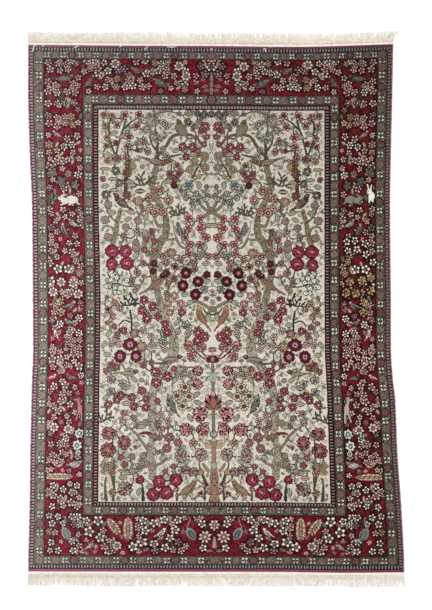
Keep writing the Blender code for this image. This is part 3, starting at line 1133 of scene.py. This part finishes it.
def paint_border(chart, chance):
    for planting in BORDER_FLOWERS:
        for spot in planting.places:
            shadow(chart, knot_place(spot), planting.radius * KNOTS_PER_PIXEL + SHADOW_ROOM)
    places = [knot_place(spot) for spot in spots_of(BORDER_FLOWERS)]
    vine(chart, places, "brown", 40, 2.4, chance)
    places.sort(key=lambda place: place[1])
    vine(chart, places, "maroon", 30, 2.6, chance)
    places.sort()
    vine(chart, places, "stalk", 26, 2.0, chance, ("sand", "pink", "haze"), 0.25)
    plant_sprigs(chart, BORDER_SPRIGS)
    for row in PLUMES:
        paint_plume(chart, row)
    for row in SPRAYS:
        paint_spray(chart, row)
    plant(chart, BORDER_FLOWERS, chance, 0)
    points = [(*knot_place(spot), width * KNOTS_PER_PIXEL) for *spot, width in BORDER_TREE]
    stem(chart, points, "bark", "dark", ("bark_light", "dark"))
    for row in BORDER_BIRDS:
        paint_bird(chart, row)
    for row in CRANES:
        paint_crane(chart, row)


CRANE_NECK = ((-6, 8, 4), (-7, 16, 3), (-3, 24, 2.4), (-2, 32, 2.2), (-7, 34, 1.6))


def paint_crane(chart, row):
    """A long-necked bird standing."""
    x, y = place_of(row)
    stem(chart, [(x + dx, y + dy, width) for dx, dy, width in CRANE_NECK], row.neck, "dark")
    leaf(chart, (x, y), 28, 17, 120, row.body, "dark")
    leaf(chart, (x + 1, y - 1), 20, 9, 118, row.wing, "dark", row.body)
    for side in (-1, 4):
        stem(chart, ((x + side, y - 10, 1.4), (x + side + 1, y - 24, 1.4)), "brown")


# Where the photo shows the ground bare: the patch's middle and its half sizes.
Bare = namedtuple("Bare", "across down half_width half_height")
BORDER_BARE = read(Bare, """
192 74 4 15
81 240 3 14
50 205 4 4
62 224 3 6
60 409 8 3
70 418 7 4
200 548 5 4
""")
FIELD_BARE = read(Bare, """
212 183 8 5
212 243 4.5 19
212 276 4 9
212 340 4 9
146 446 4 9
134 484 4 6
""")


def is_bare(place, patches):
    for patch in patches:
        middle = place_of(patch)
        beside = abs(place[0] - middle[0]) < patch.half_width * KNOTS_PER_PIXEL
        if beside and abs(place[1] - middle[1]) < patch.half_height * KNOTS_PER_PIXEL:
            return True
    return False


def fill_gaps(chart, ground, rows, columns, bare, chance, fillings):
    """Draws each small motif wherever the ground is plain for a reach round it, but for the
    patches that stay bare. A filling is its reach, its tries and the function that draws it."""
    for reach, tries, draw in fillings:
        plain = (chart == NAMES[ground]).astype(np.int32)
        total = np.zeros((chart.shape[0] + 1, chart.shape[1] + 1), np.int64)
        total[1:, 1:] = plain.cumsum(0).cumsum(1)
        for _ in range(tries):
            row, column = chance.randint(*rows), chance.randint(*columns)
            r0, r1, c0, c1 = row - reach, row + reach + 1, column - reach, column + reach + 1
            if r0 < 0 or c0 < 0 or r1 > chart.shape[0] or c1 > chart.shape[1]:
                continue
            whole = total[r1, c1] - total[r0, c1] - total[r1, c0] + total[r0, c0]
            still = whole == (2 * reach + 1) ** 2 and (chart[r0:r1, c0:c1] == NAMES[ground]).all()
            if still and not is_bare((column, row), bare):
                draw((column, row))


def fill_field(chart, chance):
    """Small flowers, twigs and leaves wherever the ivory ground is still wide."""
    def bud(place):
        name = chance.choice(("haze", "mottle", "plum", "brown", "blush", "rosemist"))
        flower(chart, place, chance.uniform(4.6, 5.6), name, chance.uniform(0, 6.28))

    def sprout(place):
        twig(chart, place, chance.uniform(11, 15), chance,
             ("pale_leaf", "leaf", "sand", "ivory"), "stalk")

    def lone_leaf(place):
        leaf(chart, place, chance.uniform(6, 8), 3.2, chance.uniform(0, 180),
             chance.choice(("leaf", "pale_leaf", "ivory", "ivory")), "olive")

    rows = (BOTTOM_BORDER + 5, BOTTOM_BORDER + FIELD_ROWS - 6)
    fill_gaps(chart, "ivory", rows, (SIDE_BORDER + 6, CENTRE), FIELD_BARE, chance,
              ((7, 12000, bud), (5, 24000, sprout), (3, 30000, lone_leaf)))


def fill_border(chart, chance):
    """Small flowers, buds, tendrils and specks wherever the red ground is still wide."""
    def blossom(place):
        shadow(chart, place, 8.5)
        flower(chart, place, chance.uniform(5.4, 6.4),
               chance.choice(("cream", "petal", "cream", "orchid", "frosty")),
               chance.uniform(0, 6.28))

    def bud(place):
        flower(chart, place, chance.uniform(4.0, 4.8),
               chance.choice(("cream", "petal", "petal", "orchid")), chance.uniform(0, 6.28))

    def tendril(place):
        twig(chart, place, chance.uniform(9, 12), chance,
             ("pink", "blush", "haze", "sand"), "brown")

    def fleck(place):
        angle = math.degrees(chance.uniform(0, math.pi))
        ends = [(*step(place, angle, far), 2) for far in (-4, 4)]
        stem(chart, ends, chance.choice(("maroon", "brown", "stalk", "wine")))

    columns = (30, CENTRE)
    fill_gaps(chart, "red", (BOTTOM_BORDER, ROWS - 30), columns, BORDER_BARE, chance,
              ((5, 36000, blossom),))
    fill_gaps(chart, "red", (34, ROWS - 30), columns, BORDER_BARE, chance,
              ((4, 16000, bud), (4, 16000, tendril), (3, 30000, fleck)))


RAGGED_SHARE = 0.16


def ragged(chart):
    """Lets some knots take a neighbour's wool, as hand knotting does."""
    chance = np.random.default_rng(9)
    rows, columns = np.mgrid[0:chart.shape[0], 0:chart.shape[1]]
    moved = chance.random(chart.shape) < RAGGED_SHARE
    rows = rows + moved * chance.integers(-1, 2, chart.shape)
    columns = columns + moved * chance.integers(-1, 2, chart.shape)
    rows = np.clip(rows, 0, chart.shape[0] - 1)
    columns = np.clip(columns, 0, chart.shape[1] - 1)
    return chart[rows, columns]


# White threads of the warp that show through along the top edge.
Thread = namedtuple("Thread", "wool places")
THREADS = read(Thread, """
white: 36,46 33.5,49 33,53
white: 42.5,47.8 46,45.8
white: 74.5,49 77,47.5 79,46
white: 120,47.6 123,46.2
white: 145,50.5 147,48 148,46
white: 167,47 171,48 174,47.5 178,46.2
white: 210.8,50 212.2,49.6
white: 264,48.5 265.5,49 265.5,51.5
white: 269,46 270.3,47
""")
THREAD_WIDTH = 2.2  # in knots

# Stray knots in the two grounds: under this share the dark wool, over that one the pale one.
GROUND_FLECKS = (("red", 0.16, 0.94, "wine", "dusty"), ("ivory", 0.05, 0.96, "sand", "white"))


def draw_chart():
    """The whole rug's design: the left half, its mirror image, and what isn't mirrored."""
    chance = random.Random(31)
    chart = np.zeros((ROWS, HALF_WIDTH), np.uint8)
    level, run, at_end = band_levels()
    paint_grounds(chart, level, run, at_end)
    field, border = level >= len(BANDS), within(level, "main")
    guards = within(level, "outer_guard") | within(level, "inner_guard")
    for inside, paint in ((guards, paint_guards), (field, paint_field), (field, fill_field),
                          (border, paint_border), (border, fill_border)):
        drawn = chart.copy()
        paint(drawn, chance)
        chart[inside] = drawn[inside]
    for wool, low, high, dark, pale in GROUND_FLECKS:
        ground = chart == NAMES[wool]
        chart[ground & (FLECK < low)] = NAMES[dark]
        chart[ground & (FLECK > high)] = NAMES[pale]
    right = chart.copy()
    teeth = within(level, "outer_teeth") & ~at_end
    for wool, worn in RIGHT_TEETH:
        right[teeth & (chart == NAMES[wool])] = NAMES[worn]
    for planting in RIGHT_FLOWERS:
        size = planting.radius * KNOTS_PER_PIXEL
        for spot in planting.places:
            column, row = knot_place(spot)
            place = (COLUMNS - 1 - column, row)
            shadow(right, place, size + SHADOW_ROOM)
            flower(right, place, size, planting.bloom, chance.uniform(0, 6.28))
    whole = np.concatenate([chart[:, :CENTRE + 1], right[:, CENTRE - 1::-1]], axis=1)
    for row in BEASTS:
        paint_beast(whole, row)
    for thread in THREADS:
        stem(whole, [(*knot_place(spot), THREAD_WIDTH) for spot in thread.places], thread.wool)
    return ragged(whole)


# ---- from chart to colours
def linear(colour):
    colour = np.asarray(colour, np.float64) / 255
    return np.where(colour <= 0.04045, colour / 12.92, ((colour + 0.055) / 1.055) ** 2.4)


EXPOSURE = 0.755

# Painted light, shade and the pile's sheen, with some fade, by the share of the way across and up.
LIGHT_AND_FADE_ACROSS = ((0.0, 1.42), (0.06, 1.33), (0.19, 1.13), (0.35, 1.07), (0.6, 1.02), (0.8, 0.96),
               (0.84, 0.96), (1.0, 0.86))
LIGHT_AND_FADE_UP = ((0.0, 0.89), (0.09, 0.90), (0.125, 0.90), (0.15, 0.98), (0.2, 1.02), (0.4, 1.06),
           (0.7, 0.97), (0.88, 0.89), (1.0, 0.75))
# How much deeper the dark wools look than the pale ones, by the share of the way across.
DEPTH_ACROSS = ((0.0, -0.12), (0.17, -0.08), (0.25, -0.02), (0.5, 0.08), (0.75, 0.15),
                (0.81, 0.18), (0.85, 0.26), (1.0, 0.26))
DEPTH_PIVOT = 0.5


def knot_colours(chart):
    """Each knot's colour in linear light, with the dye's unevenness and painted light and shade."""
    chance = np.random.default_rng(7)
    colours = linear(np.array([wool[1:] for wool in WOOLS]))[chart]
    columns = np.arange(chart.shape[1]) / (COLUMNS - 1)
    depth = np.interp(columns, *zip(*DEPTH_ACROSS))[None, :, None]
    colours = colours * (colours / DEPTH_PIVOT) ** depth
    shade = 1 + 0.10 * chance.standard_normal(chart.shape)
    shade *= 1 + 0.06 * smooth_noise(chart.shape, 40, chance)
    shade *= 1 + 0.04 * smooth_noise((chart.shape[0], 1), 9, chance)
    rows = np.arange(chart.shape[0]) / (ROWS - 1)
    # Painted light and shade, with some fade: lighter to the left, darker to the right and towards
    # the top.
    shade *= np.interp(columns, *zip(*LIGHT_AND_FADE_ACROSS))[None, :]
    shade *= np.interp(rows, *zip(*LIGHT_AND_FADE_UP))[:, None]
    return np.clip(colours * shade[..., None] * EXPOSURE, 0.002, 0.95)


# ---- the pile's mesh
GRID_COLUMNS = COLUMNS // FACE_KNOTS
GRID_ROWS = ROWS // FACE_KNOTS
BAKE_TOP = 0.98  # the part of the bake's height that the knots take
BAKE_GAP = 0.005
BAKE_STRIP = 0.012  # the part that the walls and the underside take


def pile_place(column, row):
    """Where a corner of the chart lies on the rug: across and up, from its own centre line."""
    up = PILE_LENGTH * row / ROWS
    down = PHOTO_PILE_FOOT - up / PIXEL
    left, right = field_edges(down)
    outer = pile_edges(down)
    across = np.interp(column, (0, SIDE_BORDER, COLUMNS - SIDE_BORDER, COLUMNS),
                       (outer[0], left, right, outer[1]))
    across = (float(across) - PHOTO_CENTRE) * PIXEL
    return across, height_along(across, up)


def pile_corners(shift):
    corners = []
    for j in range(GRID_ROWS + 1):
        up = PILE_LENGTH * j / GRID_ROWS
        for i in range(GRID_COLUMNS + 1):
            across, along = pile_place(i * FACE_KNOTS, j * FACE_KNOTS)
            rim = i in (0, GRID_COLUMNS) or j in (0, GRID_ROWS)
            top = pile_top(across, up) - (RIM_DROP if rim else 0)
            corners.append(Vector((across, along, top)) + shift)
    return corners


def slab(columns, rows, tops):
    """The corners and faces of a slab: a grid on top, plain walls and a flat underside. The
    third value is the grid's rim, whose corners come again at the floor."""
    wide = columns + 1
    faces = [(j * wide + i, j * wide + i + 1, (j + 1) * wide + i + 1, (j + 1) * wide + i)
             for j in range(rows) for i in range(columns)]
    rim = [i for i in range(columns)]
    rim += [j * wide + columns for j in range(rows)]
    rim += [rows * wide + i for i in range(columns, 0, -1)]
    rim += [j * wide for j in range(rows, 0, -1)]
    base, count = len(tops), len(rim)
    faces += [(rim[(k + 1) % count], rim[k], base + k, base + (k + 1) % count)
              for k in range(count)]
    faces.append(tuple(base + k for k in reversed(range(count))))
    return tops + [Vector((tops[k].x, tops[k].y, 0)) for k in rim], faces, rim


def add_piece(name, corners, faces, material):
    mesh = bpy.data.meshes.new(name)
    mesh.from_pydata(corners, [], faces)
    mesh.validate()
    mesh.polygons.foreach_set("use_smooth", [True] * len(mesh.polygons))
    mesh.materials.append(material)
    piece = bpy.data.objects.new(name, mesh)
    bpy.context.scene.collection.objects.link(piece)
    return piece


def make_pile(colours, shift):
    """The slab of knots, with each face's nine knots as its colour attributes."""
    corners, faces, rim = slab(GRID_COLUMNS, GRID_ROWS, pile_corners(shift))
    pile = add_piece("pile", corners, faces, pile_material())
    mesh = pile.data
    top_faces = GRID_COLUMNS * GRID_ROWS
    blocks = colours.reshape(GRID_ROWS, FACE_KNOTS, GRID_COLUMNS, FACE_KNOTS, 3)
    values = np.ones((len(faces), 4))
    values[:, :3] = colours.mean((0, 1))
    for k in range(FACE_KNOTS**2):
        values[:top_faces, :3] = blocks[:, k // FACE_KNOTS, :, k % FACE_KNOTS].reshape(-1, 3)
        layer = mesh.attributes.new("knot_%d" % k, "FLOAT_COLOR", "FACE")
        layer.data.foreach_set("color", values.ravel())
    mesh.polygons.foreach_set("use_smooth", np.arange(len(faces)) < top_faces)

    # The bake's layout: the grid fills it, and the walls and underside share a thin strip.
    uv = mesh.uv_layers.new(name="OFBake")
    loops = np.zeros(len(mesh.loops), np.int32)
    mesh.loops.foreach_get("vertex_index", loops)
    place = np.zeros((len(corners), 2))
    k = np.arange(len(corners) - len(rim))
    place[k, 0] = (k % (GRID_COLUMNS + 1)) / GRID_COLUMNS
    place[k, 1] = (k // (GRID_COLUMNS + 1)) / GRID_ROWS * BAKE_TOP
    place[len(k):, 0] = place[rim, 0]
    place[len(k):, 1] = BAKE_TOP + BAKE_GAP + place[rim, 1] / BAKE_TOP * BAKE_STRIP
    uv.data.foreach_set("uv", place[loops].ravel())
    return pile


# ---- materials
def new_material(name, roughness, sheen, gloss=0.15):
    material = bpy.data.materials.new(name)
    material.use_nodes = True
    tree = material.node_tree
    shader = tree.nodes["Principled BSDF"]
    shader.inputs["Roughness"].default_value = roughness
    shader.inputs["Sheen Weight"].default_value = sheen
    shader.inputs["Sheen Roughness"].default_value = 0.6
    shader.inputs["Specular IOR Level"].default_value = gloss
    return material, tree, shader


def add_node(tree, kind, settings=(), **inputs):
    """A node with each input set to a number, or linked to another node's output."""
    node = tree.nodes.new("ShaderNode" + kind)
    for name, setting in settings:
        setattr(node, name, setting)
    for name, value in inputs.items():
        if isinstance(value, (int, float)):
            node.inputs[name].default_value = value
        else:
            tree.links.new(value, node.inputs[name])
    return node


def math_node(tree, operation, *values):
    node = tree.nodes.new("ShaderNodeMath")
    node.operation = operation
    for socket, value in zip(node.inputs, values):
        if isinstance(value, (int, float)):
            socket.default_value = value
        else:
            tree.links.new(value, socket)
    return node.outputs[0]


def two_tones(tree, shader, factor, low, high, dark, pale):
    """Colours the shader from dark to pale, as a factor goes from a low to a high value."""
    ramp = tree.nodes.new("ShaderNodeValToRGB")
    for element, position, colour in zip(ramp.color_ramp.elements, (low, high), (dark, pale)):
        element.position = position
        element.color = (*linear(colour), 1)
    tree.links.new(factor, ramp.inputs[0])
    tree.links.new(ramp.outputs[0], shader.inputs["Base Color"])


def add_bump(tree, shader, height, distance, strength=1.0):
    bump = add_node(tree, "Bump", Strength=strength, Distance=distance, Height=height)
    tree.links.new(bump.outputs[0], shader.inputs["Normal"])


def pile_material():
    """Each knot in its own wool, picked from the face's nine by the place within the face."""
    material, tree, shader = new_material("knotted_pile", 0.92, 0.04, 0.05)
    place = add_node(tree, "UVMap", [("uv_map", "OFBake")])
    split = add_node(tree, "SeparateXYZ", Vector=place.outputs[0])
    across = math_node(tree, "MULTIPLY", split.outputs[0], float(GRID_COLUMNS))
    up = math_node(tree, "MULTIPLY", split.outputs[1], GRID_ROWS / BAKE_TOP)
    picks = []
    for value in (across, up):
        share = math_node(tree, "FRACT", value)
        knot = math_node(tree, "MULTIPLY", share, float(FACE_KNOTS))
        picks.append(math_node(tree, "FLOOR", knot))
    row = math_node(tree, "MULTIPLY", picks[1], float(FACE_KNOTS))
    index = math_node(tree, "ADD", picks[0], row)
    layers = [add_node(tree, "Attribute", [("attribute_name", "knot_%d" % k)]).outputs["Color"]
              for k in range(FACE_KNOTS**2)]
    colour = layers[0]
    for k, layer in enumerate(layers[1:], 1):
        mix = add_node(tree, "Mix", [("data_type", "RGBA")])
        picked = math_node(tree, "COMPARE", index, float(k), 0.5)
        for socket, value in ((0, picked), (6, colour), (7, layer)):
            tree.links.new(value, mix.inputs[socket])
        colour = mix.outputs[2]
    tree.links.new(colour, shader.inputs["Base Color"])

    def ridge(value):
        wave = math_node(tree, "SINE", math_node(tree, "MULTIPLY", value, math.pi * FACE_KNOTS))
        return math_node(tree, "ABSOLUTE", wave)

    knots = math_node(tree, "MULTIPLY", ridge(across), ridge(up))
    spot = add_node(tree, "TexCoord").outputs["Object"]
    wool = add_node(tree, "TexNoise", Scale=900, Detail=3, Vector=spot)
    height = math_node(tree, "ADD", knots, math_node(tree, "MULTIPLY", wool.outputs[0], 0.8))
    add_bump(tree, shader, height, 0.0004, 0.6)
    return material


def cord_material(name, dark, pale):
    """Wool wrapped round and round the side cord, its turns of uneven dye."""
    material, tree, shader = new_material(name, 0.88, 0.2)
    spot = add_node(tree, "TexCoord").outputs["Object"]
    split = add_node(tree, "SeparateXYZ", Vector=spot)
    turns = math_node(tree, "MULTIPLY", split.outputs[1], 1 / DYE_PITCH)
    dye = add_node(tree, "TexNoise", [("noise_dimensions", "1D")], Scale=1.0, Detail=2, W=turns)
    two_tones(tree, shader, dye.outputs[0], 0.42, 0.60, dark, pale)
    fine = add_node(tree, "TexNoise", Scale=1400, Vector=spot)
    add_bump(tree, shader, fine.outputs[0], 0.0003)
    return material


def cotton_material(name, dark, pale):
    """Unbleached cotton: slubs of slightly different tone and a fine twist."""
    material, tree, shader = new_material(name, 0.9, 0.15)
    spot = add_node(tree, "TexCoord").outputs["Object"]
    slubs = add_node(tree, "TexNoise", Scale=90, Detail=4, Vector=spot)
    two_tones(tree, shader, slubs.outputs[0], 0.35, 0.65, dark, pale)
    twist = add_node(tree, "TexWave", Scale=260, Distortion=2, Vector=spot)
    add_bump(tree, shader, twist.outputs[1], 0.0001)
    return material


# ---- tubes: cords and yarns
def add_tube(corners, faces, route, sides, twist=0.0):
    """A closed tube along a route of (point, radius)."""
    start = len(corners)
    for k, (point, radius) in enumerate(route):
        ahead = route[min(k + 1, len(route) - 1)][0] - route[max(k - 1, 0)][0]
        ahead.normalize()
        side = Vector((ahead.y, -ahead.x, 0)).normalized()
        top = side.cross(ahead)
        for s in range(sides):
            turn = 2 * math.pi * (s + 0.5) / sides + twist * k
            corners.append(point + (side * math.cos(turn) + top * math.sin(turn)) * radius)
    for k in range(len(route) - 1):
        for s in range(sides):
            a, b = start + k * sides + s, start + k * sides + (s + 1) % sides
            faces.append((a, b, b + sides, a + sides))
    faces.append(tuple(start + s for s in reversed(range(sides))))
    last = start + (len(route) - 1) * sides
    faces.append(tuple(last + s for s in range(sides)))


WRAP_PITCH = 0.0026
WRAP_STEPS = 3
WRAP_RISE = 0.00016
DYE_PITCH = 0.0117  # the length of cord over which the wool's dye changes


def make_side_cord(name, side, shift, material):
    """A cord wrapped in wool, each turn standing a little proud."""
    radius = CORD_DIAMETER / 2
    count = round(PILE_LENGTH / WRAP_PITCH) * WRAP_STEPS
    route = []
    for k in range(count + 1):
        up = PILE_LENGTH * k / count
        across = side * through(LEFT if side < 0 else RIGHT, up)
        place = Vector((across - side * radius, height_along(across, up), radius))
        rise = WRAP_RISE * (0.5 + 0.5 * math.cos(2 * math.pi * k / WRAP_STEPS))
        route.append((place + shift, radius - WRAP_RISE + rise))
    corners, faces = [], []
    add_tube(corners, faces, route, 8)
    return add_piece(name, corners, faces, material)


def end_span(end):
    """Where an end of the rug lies along it, and its left and right ends."""
    up = PILE_LENGTH if end.outward > 0 else 0
    return up, -through(LEFT, up), through(RIGHT, up)


def lock_lean(end, across, left, right, chance):
    wave = LOCK_WAVE * math.sin(2 * math.pi * across / LOCK_WAVE_PITCH + end.seed)
    to_left = end.spread_left * math.exp(-(across - left) / SPREAD_REACH)
    to_right = end.spread_right * math.exp(-(right - across) / SPREAD_REACH)
    return wave + chance.uniform(-LOCK_STRAY, LOCK_STRAY) - to_left + to_right


YARNS = 5
YARN_RADIUS = 0.00095
YARN_SIDES = 4
YARN_STEPS = 10
YARN_OVERLAP = 0.5  # the share of the woven band that the yarns lie over
YARN_DROP = 0.004  # how far out they take to come down to the floor
YARN_STRAY = 0.0016  # how far a tip strays to either side
YARN_CLEARANCE = 0.00002  # from the floor


def make_fringe_yarns(end, shift, material):
    """The warps' twisted ends, several to each lock, lying on the floor."""
    chance, stray = random.Random(end.seed), random.Random(end.seed + 100)
    up, left, right = end_span(end)
    pitch = (right - left) / LOCKS
    corners, faces = [], []
    for k in range(LOCKS):
        middle = left + pitch * (k + 0.5)
        lean = lock_lean(end, middle, left, right, chance)
        slow = math.sin(2 * math.pi * middle / 0.53 + end.seed)
        change = LOCK_LENGTH_CHANGE * (0.45 * slow + 0.55 * chance.uniform(-1, 1))
        length = end.lock * (1 - LOCK_LENGTH_CHANGE + change)
        for yarn in range(YARNS):
            beside = pitch * ((yarn + 0.5) / YARNS - 0.5)
            start = middle + beside * 0.94
            tip = middle + beside * 1.05 + stray.uniform(-1, 1) * YARN_STRAY
            long = length * stray.uniform(0.96, 1.04)
            sway, phase = stray.uniform(0.0003, 0.0014), stray.uniform(0, 6.28)
            inner = end.band * YARN_OVERLAP
            route = []
            for k_step in range(YARN_STEPS + 1):
                t = k_step / YARN_STEPS
                x = start + (tip - start) * t + lean * t**1.5 + sway * math.sin(phase + 5 * t) * t
                out = (long + inner) * t - inner
                y = height_along(x, up) + end.outward * (GAP + end.band + out)
                thin = YARN_RADIUS * (1 - 0.35 * t**3)
                lift = 0.0004 * math.sin(phase + 7 * t) ** 2 * (yarn % 2)
                lift += END_CLOTH_THICKNESS * min(max(1 - out / YARN_DROP, 0), 1)
                route.append((Vector((x, y, thin + YARN_CLEARANCE + lift)) + shift, thin))
            add_tube(corners, faces, route, YARN_SIDES, 0.9)
    return add_piece(end.name + "_yarns", corners, faces, material)


BAND_COLUMNS = 440
BAND_ROWS = 12
WEFT_RISE = 0.00022
WARP_RISE = 0.00012
BAND_SINK = 0.0004  # how far its hollows lie under the cloth's thickness


def make_end_band(end, shift, material):
    """The flat-woven band that closes an end, ribbed by its wefts."""
    up, left, right = end_span(end)
    tops = []
    for j in range(BAND_ROWS + 1):
        for i in range(BAND_COLUMNS + 1):
            across = left + (right - left) * i / BAND_COLUMNS
            out = GAP + end.band * j / BAND_ROWS
            rib = WEFT_RISE * (j % 2) + WARP_RISE * ((i + j) % 2)
            y = height_along(across, up) + end.outward * out
            tops.append(Vector((across, y, END_CLOTH_THICKNESS - BAND_SINK + rib)) + shift)
    corners, faces, _ = slab(BAND_COLUMNS, BAND_ROWS, tops)
    if end.outward < 0:
        faces = [face[::-1] for face in faces]
    return add_piece(end.name + "_band", corners, faces, material)


# ---- the stage
VIEW_CENTRE = (0.0176, 1.0394)
VIEW_HEIGHT = 2.379
LENS = 85.0
SENSOR = 36.0


def make_stage(across, along):
    bpy.ops.mesh.primitive_plane_add(size=30, location=(0, 0, -0.0002))
    floor = bpy.context.object
    floor.name = "floor"
    material, tree, shader = new_material("pale_floor", 0.9, 0.0)
    shader.inputs["Base Color"].default_value = (0.93, 0.93, 0.93, 1)
    floor.data.materials.append(material)

    world = bpy.data.worlds.new("studio")
    bpy.context.scene.world = world
    world.use_nodes = True
    world.node_tree.nodes["Background"].inputs[0].default_value = (1, 1, 1, 1)
    world.node_tree.nodes["Background"].inputs[1].default_value = 0.90
    sun = bpy.data.lights.new("soft_sun", "SUN")
    sun.energy = 1.50
    sun.angle = math.radians(50)
    lamp = bpy.data.objects.new("soft_sun", sun)
    lamp.rotation_euler = (math.radians(-22), math.radians(-28), 0)
    bpy.context.scene.collection.objects.link(lamp)

    camera = bpy.data.cameras.new("camera")
    camera.lens = LENS
    camera.sensor_width = SENSOR
    camera.clip_end = 50
    eye = bpy.data.objects.new("camera", camera)
    eye.location = (across, along, VIEW_HEIGHT * LENS / SENSOR)
    bpy.context.scene.collection.objects.link(eye)
    bpy.context.scene.camera = eye
    bpy.context.scene.view_settings.view_transform = "Standard"


# The darker and paler tones of what isn't knotted, in screen colours.
SIDE_CORDS = (
    ("selvedge_left", -1, (112, 62, 80), (178, 142, 160)),
    ("selvedge_right", 1, (84, 40, 54), (140, 98, 114)),
)
BAND_TONES = ((226, 209, 200), (242, 230, 222))
YARN_TONES = ((242, 228, 208), (255, 252, 242))


def main():
    box_low, box_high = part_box("rug_pile")
    own = [pile_place(i * FACE_KNOTS, 0) for i in range(GRID_COLUMNS + 1)]
    own += [pile_place(0, j * FACE_KNOTS) for j in range(GRID_ROWS + 1)]
    shift = Vector((box_low[0] - min(x for x, y in own), box_low[1] - min(y for x, y in own), 0))
    chart = draw_chart()
    pile = make_pile(knot_colours(chart), shift)
    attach(pile, "root")
    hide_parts("rug_pile")

    for name, side, dark, pale in SIDE_CORDS:
        wrapped = cord_material(name + "_wool", dark, pale)
        cord = make_side_cord(name + "_cord", side, shift, wrapped)
        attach(cord, "root")
        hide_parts(name)
    band_cotton = cotton_material("woven_end", *BAND_TONES)
    yarn_cotton = cotton_material("fringe_cotton", *YARN_TONES)
    for end in (TOP_END, BOTTOM_END):
        band = make_end_band(end, shift, band_cotton)
        yarns = make_fringe_yarns(end, shift, yarn_cotton)
        for piece in (band, yarns):
            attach(piece, "root")
        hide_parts(end.name)
        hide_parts(end.name)
    make_stage(shift.x + VIEW_CENTRE[0], shift.y + VIEW_CENTRE[1])


main()
